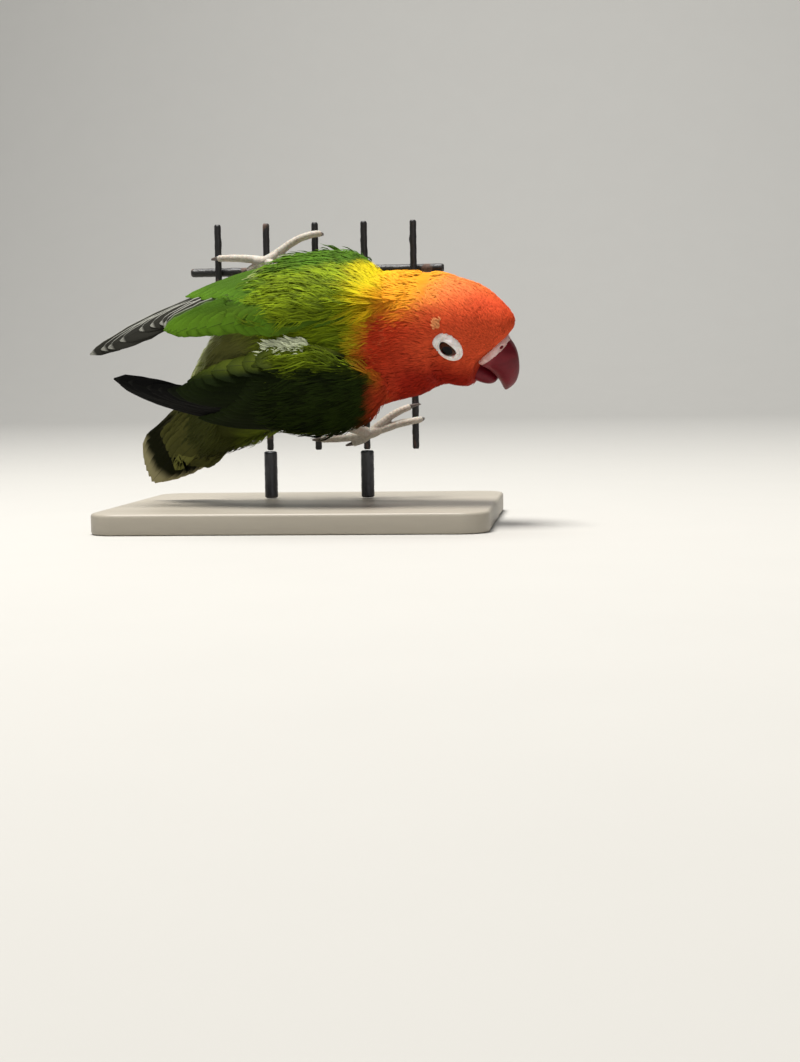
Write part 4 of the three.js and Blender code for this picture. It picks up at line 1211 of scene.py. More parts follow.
class LOVEBIRD_OT_body_plumage(bpy.types.Operator):
    """Covers the neck, mantle, breast, belly, rump, thighs and shoulders with loose overlapping feathers"""

    bl_idname = "lovebird.body_plumage"
    bl_label = "Body plumage"

    def execute(self, context):
        here = coat()
        material = feather_material("Body feathers", 0.68)
        x, y, z = here.points.T
        body = (here.forward <= -12.6) & ~here.on_wing & ~here.bare_arm
        middle = body & (x <= 18) & (x > -16)
        neck_lift = mix(0.5, 1.2, smoothstep(here.forward, -13, -24))
        for name, where, spacing, length, width, lift, strands, seed, slot, ruffle in (
            ("coat_neck", body & (x > 18), 1.05, 5.6, 3.8, neck_lift, 10, 41, "orange_plumage", 0.09),
            ("coat_mantle", middle & (y < -12), 1.3, 8.2, 3.6, 1.5, 10, 42, "green_plumage", 0.2),
            ("coat_breast", middle & (y >= -12), 2, 8, 4.4, 1.4, 8, 43, "green_plumage", 0.12),
            ("coat_rump", body & (x <= -16) & (z > 23.5), 1.6, 8.4, 4, 1.3, 8, 44, "olive_plumage", 0.14),
        ):
            grow_plumes(name, where, spacing, length, width, lift, strands, 3, seed, material, slot, ruffle)
        on_left = here.wing == 0
        scapulars = here.on_wing & (here.across > mix(0.7, 0.5, on_left))
        scapulars &= here.along < mix(0.34, 0.46, on_left)
        lift = mix(1.7, 2.7, on_left)
        grow_plumes("coat_scapulars", scapulars, 1.5, 9, 4, lift, 12, 3, 51, material, "green_plumage", 0.25)
        first, last = (here.seen_at(x, z) for x, z in ((4.8, 51.1), (-3.4, 50.2)))
        line = last - first
        share = np.clip((here.points - first) @ line / (line @ line), 0, 1)
        near = np.linalg.norm(here.points - mix(first, last, share[:, None]), axis=1) < 2
        down = one_tone_material("Down", plumage().down)
        near &= y < -20
        grow_plumes("coat_down_tuft", near, 0.34, 3.2, 3, 3.1, 9, 3, 52, down, "green_plumage", 0.45)
        length = mix(3, 8, smoothstep(here.along, 0, 0.34))
        for number, wing in enumerate(WINGS):
            arm = here.on_wing & (here.wing == number) & (here.along < 0.45) & (here.normals[:, 1] < 0)
            lift = mix(0.9, 2.7, smoothstep(here.along, 0.25, 0.45))
            grow_plumes(
                f"coat_shoulder_{wing.name}", arm, 0.2 * length, length, 0.5 * length, lift, 9, 3,
                45 + number, material, wing.slot, 0.09,
            )
        return {"FINISHED"}


# Wings and tail, feather by feather

def tier(wing, rng, count, width, lean, roots, tips, root_lift, tip_lift, thickness, steps, dark):
    """A row of overlapping vanes on a wing, from the leading edge inwards, each leaning over its neighbour.
    The widths, leans and lifts are given for the first and the last vane, and dark for a vane's rank."""
    root_line, tip_line = smooth_line(roots, 101), smooth_line(tips, 101)
    parts = []
    for i in range(count):
        rank = i / (count - 1)
        root = along_line(root_line, rank)
        tip = along_line(tip_line, rank) + np.array([0.006 * rng.normal(), 0])
        tilt = np.radians(mix(*lean, rank)) * (1 + 0.15 * rng.normal())
        darkness = dark(rank)

        def path(shares):
            along, across = mix(root[0], tip[0], shares), mix(root[1], tip[1], shares)
            _, _, out = wing.frame(along, across)
            across_ahead = mix(root[1], tip[1], np.minimum(1, shares + 0.03))
            ahead = wing.point(np.minimum(1, along + 0.02), across_ahead)
            lengthways = unit(ahead - wing.point(along - 0.001, across))
            inwards = unit(np.cross(out, lengthways) * wing.side)
            lift = mix(mix(*root_lift, rank), mix(*tip_lift, rank), shares)[:, None]
            return (
                wing.point(along, across) + out * lift, inwards * np.cos(tilt) - out * np.sin(tilt),
                out * np.cos(tilt) + inwards * np.sin(tilt),
            )

        pointed = mix(0.62, 0.8, rank)

        def outline(shares):
            ragged = 1 + 0.05 * rng.normal(size=(2, len(shares))) * (shares > 0.3)
            narrow = mix(0.72, 1, min(1, rank * 2))
            half = vane_half(shares, pointed, 0.04)
            return half * narrow * ragged[0], half * (2 - narrow) * ragged[1]

        place = (0.05 + 0.9 * root[0], 0.05 + 0.9 * root[1])
        size = mix(*width, rank) * (1 + 0.04 * rng.normal())
        tone = float(np.clip(0.5 + 0.2 * rng.normal(), 0, 1))
        parts.append(vane_grid(path, size, outline, thickness, tone, darkness, place, steps))
    return parts


def wing_parts(wing):
    """The stiff feathers of one wing: the flight feathers and the greater coverts over their roots."""
    rng = np.random.default_rng(wing.seed)
    flights = tier(
        wing, rng, 20, (6.2, 7.6), (13, 17), [(0.34, 0.12), (0.12, 0.88)], wing.tips,
        (-3, -1.4), (-0.9, 0.9), 0.26, 20, lambda rank: float(1 - smoothstep(rank, 0.38, 0.5)),
    )
    coverts = tier(
        wing, rng, 15, (5, 6.4), (10, 13), [(0.3, 0.1), (0.12, 0.88)],
        [(0.69, 0.06), (0.6, 0.28), (0.5, 0.6), (0.41, 0.95)], (-2.2, -1.3), (0, 1.1), 0.24, 14,
        lambda rank: 0.0,
    )
    return flights, coverts


class LOVEBIRD_OT_wings(bpy.types.Operator):
    """Lays the flight feathers and the rows of coverts on both wings"""

    bl_idname = "lovebird.wings"
    bl_label = "Wings"

    def execute(self, context):
        colours = plumage()
        for wing, green, flight, rim, inner in (
            (LEFT_WING, colours.covert_left, colours.flight_left, 0.8,
             ((0.08, 0.15, 0.01), (-31, -24, 59.5), (0.1, -0.35, -0.93), 3)),
            # Painted shade on the right wing: its dark colours, its primaries' pale edges nearly gone
            # (0.02), and a lighter green only along its upper edge, where light reaches it.
            (RIGHT_WING, colours.covert_right_painted_shade, colours.flight_right_painted_shade, 0.02,
             ((0.1, 0.13, 0.01), (-14, -29, 45.8), (-0.165, -0.2, 0.97), 1.8)),
        ):
            material = vane_material(f"Wing feathers {wing.name}", green, flight, colours.edge, rim, inner)
            flights, coverts = wing_parts(wing)
            node = f"wing_{wing.name}"
            settle(feather_piece(f"{node}_flights", *gather(flights)), material, wing.slot, node)
            settle(feather_piece(f"{node}_coverts", *gather(coverts)), material, wing.slot)
        return {"FINISHED"}


TAIL_REACH = np.array(TAIL["tip"]) - np.array(TAIL["root"])
TAIL_LENGTH = float(np.linalg.norm(TAIL_REACH))
TAIL_ALONG = unit(TAIL_REACH)
TAIL_FACING = (0.32, -0.9, -0.1)
TAIL_ACROSS = unit(np.cross(TAIL_ALONG, TAIL_FACING))
TAIL_UP = np.cross(TAIL_ACROSS, TAIL_ALONG)


def tail_vane(rng, angle, offset, lift, start, length, width, lean, droop, darkness, taper=0.74):
    """One feather of the tail, from under the rump to its tip."""
    turn, tilt = np.radians(angle), np.radians(lean)
    along = TAIL_ALONG * np.cos(turn) + TAIL_ACROSS * np.sin(turn)
    across = unit(np.cross(TAIL_UP, along))

    def path(shares):
        shares = shares[:, None]
        centre = (
            np.array(TAIL["root"], float) + TAIL_ACROSS * offset + along * mix(start, length, shares)
            + TAIL_UP * (lift - droop * shares**2)
        )
        flat = np.ones_like(shares)
        return (
            centre, flat * (across * np.cos(tilt) + TAIL_UP * np.sin(tilt)),
            flat * (TAIL_UP * np.cos(tilt) - across * np.sin(tilt)),
        )

    def outline(shares):
        ragged = 1 + 0.04 * rng.normal(size=(2, len(shares)))
        half = vane_half(shares, taper, 0.05)
        return half * ragged[0], half * ragged[1]

    tone = float(np.clip(0.5 + 0.2 * rng.normal(), 0, 1))
    place = (0.5 + offset / 40, 0.5 + lift / 40)
    return vane_grid(path, width, outline, 0.28, tone, darkness, place, 16)


class LOVEBIRD_OT_tail(bpy.types.Operator):
    """Fans the twelve tail feathers and lays their coverts over and under them"""

    bl_idname = "lovebird.tail"
    bl_label = "Tail"

    def execute(self, context):
        rng = np.random.default_rng(47)
        full = TAIL_LENGTH
        parts = []
        for side, first_rank, shorter in ((-1, 0.5, 0.034), (1, 0, 0.012)):
            for pair in range(TAIL["pairs"]):
                length = full * (1 - shorter * pair - 0.003 * pair**2)
                parts.append(tail_vane(
                    rng, side * TAIL["spread"] * pair, side * (0.6 + 0.75 * pair),
                    -TAIL["layer"] * (pair + first_rank), 0, length, TAIL["width"], side * 9, 0, 0.1,
                ))
        for row, (count, reach) in enumerate(((9, 0.72), (8, 0.56))):
            for i in range(count):
                rank = i - (count - 1) / 2
                length, droop = full * (reach - 0.03 * abs(rank)), 4 - 0.4 * abs(rank) - 0.6 * row
                parts.append(tail_vane(
                    rng, 1.5 + 1.1 * rank, 1.5 * rank - 1.2, 5.6 + 0.6 * row - 0.7 * abs(rank), 5,
                    length, 5.2, -6 * rank, droop, 0.0, 0.6,
                ))
        for rank in range(-3, 4):
            length = full * (0.62 - 0.03 * abs(rank))
            parts.append(tail_vane(rng, 2 * rank - 2, 1.7 * rank, -5.2, 2, length, 5.2, 0, -1, 0.0, 0.6))
        parts.append(tail_vane(rng, -3, -0.6, 4.2, 6, full * 0.74, 4.2, 0, 1.6, 1.0, 0.75))
        stiff = 2 * TAIL["pairs"]
        feathers = feather_piece("tail_feathers", *gather(parts[:stiff]))
        settle(feathers, tail_material("Tail feathers", False), "olive_plumage", "tail")
        coverts = feather_piece("tail_coverts", *gather(parts[stiff:]))
        settle(coverts, tail_material("Tail coverts", True), "olive_plumage")
        return {"FINISHED"}


# Eyes, bill, feet and claws

def eye_material():
    parts = bare_parts()
    material, graph, shader = new_material("Eye", 0.1, (("Specular IOR Level", 0.12),))
    around = graph.attribute("around_eye")["Fac"]
    fibres = graph.noise(graph.objects(), 2600, 3)
    iris = graph.mix(fibres, parts.iris, np.array(parts.iris) * 2.2)
    colour = graph.mix(graph.fade(around, 0.62, 0.5), iris, (0.002, 0.002, 0.002))
    colour = graph.mix(graph.fade(around, 0.95, 1.05), colour, (0.02, 0.008, 0.006))
    graph.feed(shader["Base Color"], colour)
    return material


def bare_skin_material(name, colour, second, scale, strength, roughness=0.55):
    """Bare skin: two close tones in a fine cloud, with a pebbled bump."""
    material, graph, shader = new_material(name, roughness, SOFT_SKIN)
    place = graph.objects()
    cloud = graph.noise(place, scale * 0.35, 3)
    pebbles = graph.noise(place, scale, 4, 0.6)
    paint(graph, shader, graph.mix(graph.fade(cloud, 0.3, 0.75), colour, second), pebbles, strength, 0.0003)
    return material


def eye_ball(side):
    centre, along, up, outward = eye_frame(side)
    rings, around = 24, 40
    polar = np.linspace(0, np.pi, rings + 1)[:, None]
    angle = round_angles(around)[None]
    radius = EYE["radius"] * (1 + 0.06 * np.exp(-((polar / 0.5) ** 2)))
    direction = (
        (np.sin(polar) * np.cos(angle))[..., None] * along + (np.sin(polar) * np.sin(angle))[..., None] * up
        + (np.cos(polar) * np.ones_like(angle))[..., None] * outward
    )
    name = "eye_right_ball" if side > 0 else "eye_left_ball"
    piece = make_piece(name, centre + direction * radius[..., None], tube_faces(rings + 1, around))
    face_outwards(piece)
    away = (points_of(piece) - centre) @ outward
    lying = np.arccos(np.clip(away / EYE["radius"], -1, 1))
    add_attribute(piece.data, "around_eye", lying / 0.85, "FLOAT")
    return piece


CAST_FROM = 8  # how far outside the eye's centre the rays to the skin start
RING_COVER = 0.32  # how high the ring stays over the skin at least


def eye_ring(side):
    """The bare ring: a fleshy collar from the lid's edge on the eyeball out to the skin, in fine folds."""
    centre, along, up, outward = eye_frame(side)
    here = coat()
    around, steps = 72, 12
    angle = round_angles(around)
    outer = ring_reach(angle if side > 0 else np.pi - angle)
    inner = oval(angle, RING["open_long"], RING["open_short"])

    def ringed(middle, reach):
        return middle + np.outer(reach * np.cos(angle), along) + np.outer(reach * np.sin(angle), up)

    rows = []
    for step in range(-2, steps + 2):
        share = np.clip(step / steps, 0, 1)
        reach = mix(inner, outer, share)
        middle = centre - up * RING["lower"] * share
        from_axis = np.hypot(reach * np.cos(angle), reach * np.sin(angle) - RING["lower"] * share)
        on_ball = np.sqrt(np.maximum(0, EYE["radius"] ** 2 - from_axis**2)) + 0.15
        above = ringed(middle, reach) + outward * CAST_FROM
        hits = [here.tree.ray_cast(Vector(point * MM), Vector(-outward)) for point in above]
        on_skin = np.array([0.0 if hit[0] is None else CAST_FROM - hit[3] / MM for hit in hits])
        near_lid = mix(on_ball, EYE["radius"] * 0.72, 0.4)
        height = mix(near_lid, on_skin + 0.25, smoothstep(share, 0, 1))
        height = height + 0.5 * np.sin(np.pi * share) + 0.05 * np.sin(share * 22) * np.sin(np.pi * share)
        height = np.where(from_axis < EYE["radius"], np.maximum(height, on_ball), height)
        height = np.maximum(height, on_skin + RING_COVER)
        if step < 0:
            height = height + 0.45 * step
        if step > steps:
            height = height - 0.8 * (step - steps)
            reach = reach + 0.15
        folds = 0.035 * np.sin(angle * 31 + 5 * share) * np.sin(np.pi * share)
        rows.append(ringed(middle, reach) + (height + folds)[:, None] * outward)
    under = [row - outward * 0.9 for row in rows[::-1]]
    grid = np.array(rows + under)
    faces = grid_faces(len(grid), around).tolist()
    last = (len(grid) - 1) * around
    faces += [[last + i, last + (i + 1) % around, (i + 1) % around, i] for i in range(around)]
    piece = make_piece("eye_right_ring" if side > 0 else "eye_left_ring", grid, faces)
    face_outwards(piece)
    return piece


class LOVEBIRD_OT_eyes(bpy.types.Operator):
    """Sets the dark glossy eyes in their broad white rings"""

    bl_idname = "lovebird.eyes"
    bl_label = "Eyes"

    def execute(self, context):
        ball_material = eye_material()
        ring_colour = bare_parts().ring
        ring_material = bare_skin_material("Eye ring", ring_colour, (0.72, 0.62, 0.58), 2600, 0.35)
        for side, name in ((-1, "eye_left"), (1, "eye_right")):
            settle(eye_ball(side), ball_material, "eye", name)
            settle(eye_ring(side), ring_material, "cere")
        return {"FINISHED"}


UPPER_BILL = [
    ((6.6, -2.2), (5.6, 5.6)), ((11.2, -3.3), (5.5, 5.4)), ((14.2, -6.1), (4.2, 4.3)),
    ((16, -9.8), (2.7, 2.7)), ((16.3, -14.4), (0.6, 0.7)),
]
LOWER_BILL = [((4, -9.9), (4.4, 3)), ((8.6, -11.2), (4.3, 2.8)), ((13.4, -12), (2.6, 1.7))]


def head_stations(rows):
    return [(in_head(forward, up, 0), half) for (forward, up), half in rows]


def bill_material():
    material, graph, shader = new_material("Bill", 0.4, (("Specular IOR Level", 0.22),))
    place = graph.objects()
    cloud = graph.noise(graph.stretched(place, (1, 1, 2.2)), 260, 3)
    layers = graph.noise(graph.stretched(place, (4, 4, 0.6)), 500, 3, 0.6)
    base = bare_parts().bill
    colour = graph.mix(graph.fade(cloud, 0.3, 0.8), base, np.array(base) * 1.5)
    near_base = marking(graph, place, in_head(11.6, -5, 0), -HEAD_FORWARD, 1.2)
    over_gape = marking(graph, place, in_head(9, -7.5, 0), HEAD_UP, 1)
    near_base = graph.times(near_base, over_gape)
    colour = graph.mix(graph.times(near_base, 0.5), colour, (0.3, 0.06, 0.07))
    paint(graph, shader, colour, layers, 0.22, 0.0003)
    return material


class LOVEBIRD_OT_bill(bpy.types.Operator):
    """Models the hooked upper bill, the lower bill and the soft cere with its nostrils"""

    bl_idname = "lovebird.bill"
    bl_label = "Bill and cere"

    def execute(self, context):
        horn = bill_material()
        upper = loft_piece("bill_hook", head_stations(UPPER_BILL), HEAD_UP, 64, 72, 0, 8)
        points = points_of(upper)
        forward, _, side = head_share(points)
        ridge = 0.22 * np.exp(-((side / 1.1) ** 2)) * smoothstep(forward, 9, 12)
        move_points(upper, points + np.outer(ridge, HEAD_FORWARD * 0.8 + HEAD_UP * 0.6))
        settle(upper, horn, "bill", "bill_upper")
        lower = loft_piece("bill_under", head_stations(LOWER_BILL), HEAD_UP, 32, 28, 0, 6)
        settle(lower, horn, "bill", "bill_lower")

        grid = loft_grid(head_stations(UPPER_BILL), HEAD_UP, 72, 200, 0, 8)[:120]
        forward, up, _ = head_share(grid)
        past = forward - BILL_EDGE["forward"] - BILL_EDGE["slope"] * (up - BILL_EDGE["up"])
        axis = through([place for place, _ in head_stations(UPPER_BILL)], [0.12])[0]
        rows = []
        steps = 17
        for share in np.linspace(0, 1, steps):
            wanted = mix(-BILL_EDGE["band"] - 1, 0.15, share)
            nearest = np.abs(past - wanted).argmin(0)
            place = grid[nearest, np.arange(grid.shape[1])]
            _, _, aside = head_share(place)
            swell = 0.12 + 0.45 * np.sin(np.pi * min(1, 1.15 * share)) - 0.7 * max(0, share - 0.94) / 0.06
            nostril = np.exp(-(((np.abs(aside) - 2.6) / 0.62) ** 2)) * (place @ HEAD_UP > axis @ HEAD_UP)
            swell = swell - 0.9 * nostril * np.exp(-(((share - 0.7) / 0.13) ** 2))
            rows.append(place + unit(place - axis) * swell[:, None])
        cere = make_piece("cere_skin", np.array(rows), tube_faces(steps, grid.shape[1]))
        face_outwards(cere)
        skin = bare_skin_material("Cere", bare_parts().cere, (0.7, 0.52, 0.49), 2200, 0.5)
        settle(cere, skin, "cere", "cere")
        return {"FINISHED"}


def toe_line(leg, toe):
    return smooth_line([leg["palm"], *leg["toes"][toe]], 81)


def foot_piece(name, leg):
    """Toes in rings of scutes, fused with a pad at the palm."""
    pieces = []
    for toe in range(4):
        line = toe_line(leg, toe)
        length = float(np.linalg.norm(np.diff(line, axis=0), axis=1).sum())
        shares = np.linspace(0, 1, max(24, int(length / 0.22)))
        ends = np.sqrt(np.clip(1 - (2 * shares - 1) ** 24, 0.02, 1))
        radius = mix(TOE["radius"] * 1.12, TOE["tip"], shares) * ends
        scutes = 0.09 * np.abs(np.sin(np.pi * shares * length / 1.15)) - 0.05
        pads = 0.12 * np.sin(np.pi * shares * length / 4.2) ** 2
        radial = (radius + scutes)[:, None] + pads[:, None] * (np.sin(round_angles(20)) < 0)
        pieces.append(tube_piece(f"toe_{toe}", along_line(line, shares), (0, -1, 0), radial, 20))
    pad = [(leg["toes"][0][0], (1.4, 1.3)), (leg["palm"], (1.9, 1.7)), (leg["toes"][2][0], (1.4, 1.3))]
    pieces.append(loft_piece("palm", pad, (0, 0, 1), 20, 20, 0, 4))
    foot = join_pieces(name, pieces)
    apply_modifier(foot, "REMESH", mode="VOXEL", voxel_size=0.2 * MM)
    apply_modifier(foot, "SMOOTH", factor=0.5, iterations=2)
    bpy.ops.object.shade_smooth()
    return foot


def shank_piece(name, leg):
    hip, ankle, palm = (np.array(leg[key], float) for key in ("hip", "ankle", "palm"))
    line = smooth_line([mix(hip, ankle, 0.8), ankle, palm], 61)
    shares = np.linspace(0, 1, 60)
    radius = 1.45 + 0.07 * np.abs(np.sin(shares * 34)) + 0.25 * np.exp(-(((shares - 0.25) / 0.14) ** 2))
    piece = tube_piece(name, along_line(line, shares), (0, -1, 0), radius, 24)
    face_outwards(piece)
    return piece


def claw_piece(name, leg, toe):
    """A curved claw from the end of its toe round to its sharp tip."""
    end, before = np.array(leg["toes"][toe][-1], float), np.array(leg["toes"][toe][-2], float)
    outwards = unit(end - before)
    hook = np.array(leg["hooks"][toe], float)
    start = end - outwards * 0.3
    line = smooth_line([start, mix(start, hook, 0.5) + outwards * 0.9, hook], 41)
    shares = np.linspace(0, 1, 30)
    radius = 0.68 * (1 - shares) ** 0.7 + 0.03
    piece = tube_piece(name, along_line(line, shares), (0.1, 0.2, 1), radius, 16, 0.85)
    face_outwards(piece)
    return piece


def foot_material():
    parts = bare_parts()
    material, graph, shader = new_material("Foot skin", 0.6, SOFT_SKIN)
    place = graph.objects()
    cloud = graph.noise(place, 380, 3)
    grime = graph.noise(place, 1500, 3, 0.65)
    colour = graph.mix(graph.fade(cloud, 0.3, 0.7), parts.foot, (0.54, 0.51, 0.44))
    colour = graph.mix(graph.fade(grime, 0.62, 0.4, 0.0, 0.45), colour, (0.3, 0.24, 0.2))
    paint(graph, shader, colour, grime, 0.4, 0.0003)
    return material


def claw_material():
    material, graph, shader = new_material("Claw horn", 0.35)
    streaks = graph.noise(graph.stretched(graph.objects(), (1, 3, 1)), 900, 2)
    paint(graph, shader, graph.mix(streaks, bare_parts().claw, (0.16, 0.12, 0.1)), streaks, 0.2, 0.0002)
    return material


class LOVEBIRD_OT_feet(bpy.types.Operator):
    """Models the ringed toes that grip the wires, the shanks and the claws"""

    bl_idname = "lovebird.feet"
    bl_label = "Feet and claws"

    def execute(self, context):
        skin, horn = foot_material(), claw_material()
        for side, leg in (("left", LEFT_LEG), ("right", RIGHT_LEG)):
            settle(foot_piece(f"foot_{side}_toes", leg), skin, "foot_skin", f"foot_{side}")
            settle(shank_piece(f"shank_{side}_skin", leg), skin, "foot_skin", f"shank_{side}")
            for toe in range(4):
                name = f"claw_{side}_{toe + 1}"
                settle(claw_piece(f"{name}_horn", leg, toe), horn, "claw", name)
        return {"FINISHED"}


# Perch and stand

def wire_material():
    colours = stand()
    material, graph, shader = new_material("Worn wire paint", 0.5)
    place = graph.objects()
    patches = graph.noise(graph.stretched(place, (1, 1, 0.45)), 210, 4, 0.6)
    grit = graph.noise(place, 1400, 3)
    worn = graph.fade(patches, 0.56, 0.66)
    rust = graph.mix(grit, colours.rust, (0.16, 0.12, 0.1))
    graph.feed(shader["Base Color"], graph.mix(worn, colours.wire, rust))
    graph.feed(shader["Roughness"], graph.fade(worn, 0, 1, 0.45, 0.85))
    rough = graph.plus(patches, graph.times(grit, 0.5))
    graph.feed(shader["Normal"], graph.bump(rough, 0.6, 0.0004))
    return material


def worn_rod(name, node, lumps, seed):
    """A rod along a CAD node's long side, with lumps of old paint and small dents."""
    low, high = (np.array(corner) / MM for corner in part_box(node))
    size = high - low
    axis = int(np.argmax(size))
    others = [k for k in range(3) if k != axis]
    centre = (low + high) / 2
    radius = float(size[others].mean() / 2)
    rng = np.random.default_rng(seed)
    rows, around = max(60, int(size[axis] / 0.45)), 28
    at = np.linspace(low[axis], high[axis], rows)
    angle = round_angles(around)
    swell = np.zeros((rows, around))
    for _ in range(lumps):
        place, turn = rng.uniform(low[axis] + 2, high[axis] - 2), rng.uniform(0, 2 * np.pi)
        long, height = rng.uniform(0.5, 1.8), rng.uniform(0.05, 0.24)
        on_this_side = np.clip(0.5 + 0.5 * np.cos(angle - turn), 0, 1) ** 2
        swell += height * np.exp(-(((at[:, None] - place) / long) ** 2)) * on_this_side
    swell += 0.02 * np.sin(at[:, None] * 1.7 + 2 * np.cos(angle))
    swell += 0.02 * rng.normal(size=(rows, around))
    from_end = np.minimum(at - low[axis], high[axis] - at)
    ends = mix(0.75, 1, np.sqrt(np.clip(from_end / 0.35, 0, 1)))
    grid = np.zeros((rows, around, 3))
    grid[..., axis] = at[:, None]
    for k, turned in zip(others, (np.cos(angle), np.sin(angle))):
        grid[..., k] = centre[k] + (radius + swell) * ends[:, None] * turned
    piece = make_piece(name, grid, tube_faces(rows, around))
    face_outwards(piece)
    return piece


class LOVEBIRD_OT_perch(bpy.types.Operator):
    """Models the cut wires and the crossbar with their worn paint"""

    bl_idname = "lovebird.perch"
    bl_label = "Wires"

    def execute(self, context):
        material = wire_material()
        for number in range(1, 6):
            node = f"perch_wire_{number}"
            settle(worn_rod(f"{node}_worn", node, 9, 60 + number), material, "wire", node)
        settle(worn_rod("perch_crossbar_worn", "perch_crossbar", 12, 70), material, "wire", "perch_crossbar")
        return {"FINISHED"}


class LOVEBIRD_OT_stand(bpy.types.Operator):
    """Models the bevelled base board and its two rods"""

    bl_idname = "lovebird.stand"
    bl_label = "Stand"

    def execute(self, context):
        colours = stand()
        low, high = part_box("stand_base")
        bpy.ops.object.select_all(action="DESELECT")
        bpy.ops.mesh.primitive_cube_add(size=1, location=(low + high) / 2)
        board = bpy.context.active_object
        board.name = board.data.name = "stand_board"
        bpy.ops.transform.resize(value=tuple(high - low))
        bpy.ops.object.transform_apply(location=True, rotation=False, scale=True)
        bpy.ops.object.mode_set(mode="EDIT")
        bpy.ops.mesh.select_mode(type="EDGE")
        bpy.ops.mesh.select_all(action="DESELECT")
        bpy.ops.object.mode_set(mode="OBJECT")
        for edge in board.data.edges:
            first, last = (board.data.vertices[corner].co for corner in edge.vertices)
            edge.select = abs(first.z - last.z) > MM
        bpy.ops.object.mode_set(mode="EDIT")
        bpy.ops.mesh.bevel(offset=8 * MM, segments=12, affect="EDGES")
        bpy.ops.object.mode_set(mode="OBJECT")
        apply_modifier(board, "BEVEL", width=0.9 * MM, segments=4, limit_method="ANGLE", angle_limit=0.9)
        bpy.ops.object.shade_smooth_by_angle(angle=0.6)
        material, graph, shader = new_material("Painted board", 0.45)
        place = graph.objects()
        grain = graph.noise(graph.stretched(place, (0.12, 1, 1)), 420, 4, 0.6)
        darker = np.array(colours.board) * 0.88
        paint(graph, shader, graph.mix(grain, colours.board, darker), grain, 0.15, 0.0003)
        settle(board, material, "stand_board", "stand_base")
        metal, graph, shader = new_material("Rod metal", 0.35, (("Metallic", 0.9),))
        brushed = graph.noise(graph.stretched(graph.objects(), (1, 1, 0.1)), 2200, 2)
        paint(graph, shader, graph.mix(brushed, colours.rod, (0.09, 0.09, 0.095)), brushed, 0.15, 0.0002)
        for number in (1, 2):
            node = f"stand_rod_{number}"
            settle(worn_rod(f"{node}_metal", node, 0, 80 + number), metal, "stand_rod", node)
        return {"FINISHED"}


# Stage: floor, light and the camera at the photograph's angle. The axes are right, up and forward.

CAMERA_PLACE = (82.08, -502.52, 41.12)
CAMERA_AXES = ((0.99407, 0.10777, -0.01477), (0.00526, 0.08796, 0.99611), (-0.10865, 0.99028, -0.08687))
FOCAL_PIXELS, PICTURE_HEIGHT, SENSOR = 1700, 1062, 36


def soft_light(name, place, target, size, power, colour=(1, 1, 1)):
    light = bpy.data.lights.new(name, "AREA")
    light.shape, light.size, light.energy, light.color = "DISK", size, power, colour
    lamp = bpy.data.objects.new(name, light)
    lamp.location = Vector(place)
    lamp.rotation_euler = (Vector(target) - Vector(place)).to_track_quat("-Z", "Y").to_euler()
    bpy.context.collection.objects.link(lamp)


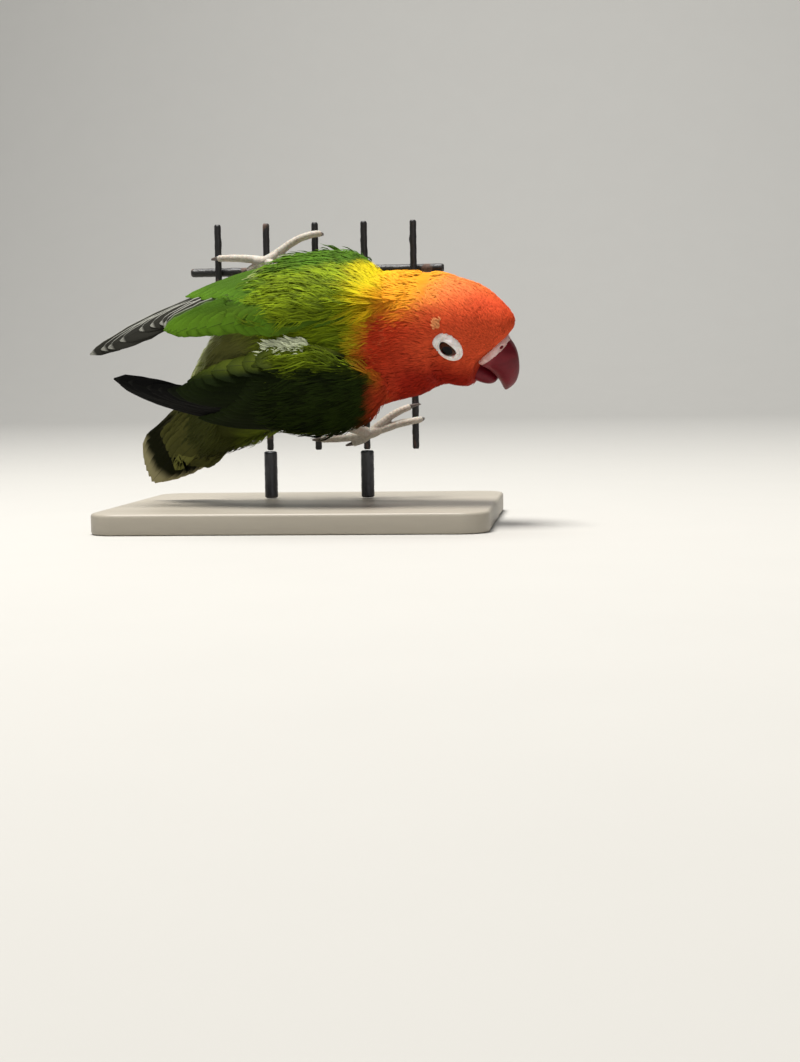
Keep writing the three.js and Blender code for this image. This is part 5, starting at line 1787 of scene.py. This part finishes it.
class LOVEBIRD_OT_stage(bpy.types.Operator):
    """Sets the pale floor, the soft studio light and the camera"""

    bl_idname = "lovebird.stage"
    bl_label = "Stage"

    def execute(self, context):
        front, half_width, bend_start, bend, top = -2200, 3000, 1400, 800, 3200
        quarter = np.linspace(0, np.pi / 2, 24)
        bent = zip(bend_start + bend * np.sin(quarter), bend - bend * np.cos(quarter))
        profile = [(front, 0), *bent, (bend_start + bend, top)]
        rows = [[(x, y, z) for y, z in profile] for x in (-half_width, half_width)]
        floor = make_piece("studio_floor", rows, grid_faces(2, len(profile), closed=False).tolist())
        material, graph, shader = new_material("Studio floor", 0.85)
        paper = graph.noise(graph.objects(), 30, 3)
        tone = stand().floor
        graph.feed(shader["Base Color"], graph.mix(paper, tone, np.array(tone) * 0.97))
        floor.data.materials.append(material)

        world = bpy.data.worlds.new("Studio light")
        world.use_nodes = True
        background = world.node_tree.nodes["Background"].inputs
        background["Color"].default_value = (0.95, 0.97, 1, 1)
        background["Strength"].default_value = 0.13
        context.scene.world = world
        target = (0.005, -0.015, 0.05)
        soft_light("Key", (-0.12, -0.16, 0.95), target, 0.4, 15, (1, 0.98, 0.95))
        soft_light("Fill", (0.5, -1.0, 0.45), target, 0.8, 1.6)
        soft_light("Backdrop", (0, 0.9, 1.9), (0.1, 2.1, 0.5), 1.6, 34)

        camera = bpy.data.objects.new("Camera", bpy.data.cameras.new("Camera"))
        camera.data.sensor_width = SENSOR
        camera.data.lens = FOCAL_PIXELS / PICTURE_HEIGHT * SENSOR
        camera.data.clip_start = 0.01
        right, up, forward = (Vector(axis).normalized() for axis in CAMERA_AXES)
        turn = Matrix((right, up, -forward)).transposed()
        camera.matrix_world = Matrix.Translation(Vector(CAMERA_PLACE) * MM) @ turn.to_4x4()
        context.collection.objects.link(camera)
        context.scene.camera = camera
        context.scene.view_settings.view_transform = "Standard"
        return {"FINISHED"}


# The panel and the run

STEPS = (
    LOVEBIRD_OT_skin, LOVEBIRD_OT_head_plumage, LOVEBIRD_OT_body_plumage, LOVEBIRD_OT_wings,
    LOVEBIRD_OT_tail, LOVEBIRD_OT_eyes, LOVEBIRD_OT_bill, LOVEBIRD_OT_feet, LOVEBIRD_OT_perch,
    LOVEBIRD_OT_stand, LOVEBIRD_OT_stage,
)


class LOVEBIRD_PT_panel(bpy.types.Panel):
    bl_label = "Lovebird"
    bl_space_type = "VIEW_3D"
    bl_region_type = "UI"
    bl_category = "Lovebird"

    def draw(self, context):
        for group in (plumage(), bare_parts(), stand()):
            box = self.layout.box()
            for name in group.bl_rna.properties.keys():
                if name not in ("rna_type", "name"):
                    box.prop(group, name)
        for step in STEPS:
            self.layout.operator(step.bl_idname, text=step.bl_label)


CLASSES = (LovebirdPlumage, LovebirdBareParts, LovebirdStand, *STEPS, LOVEBIRD_PT_panel)


def register():
    for cls in CLASSES:
        bpy.utils.register_class(cls)
    bpy.types.Scene.lovebird_plumage = bpy.props.PointerProperty(type=LovebirdPlumage)
    bpy.types.Scene.lovebird_bare_parts = bpy.props.PointerProperty(type=LovebirdBareParts)
    bpy.types.Scene.lovebird_stand = bpy.props.PointerProperty(type=LovebirdStand)


def unregister():
    del bpy.types.Scene.lovebird_plumage
    del bpy.types.Scene.lovebird_bare_parts
    del bpy.types.Scene.lovebird_stand
    for cls in reversed(CLASSES):
        bpy.utils.unregister_class(cls)


def main():
    register()
    bpy.ops.lovebird.skin()
    bpy.ops.lovebird.head_plumage()
    bpy.ops.lovebird.body_plumage()
    bpy.ops.lovebird.wings()
    bpy.ops.lovebird.tail()
    bpy.ops.lovebird.eyes()
    bpy.ops.lovebird.bill()
    bpy.ops.lovebird.feet()
    bpy.ops.lovebird.perch()
    bpy.ops.lovebird.stand()
    bpy.ops.lovebird.stage()


if __name__ == "__main__":
    main()
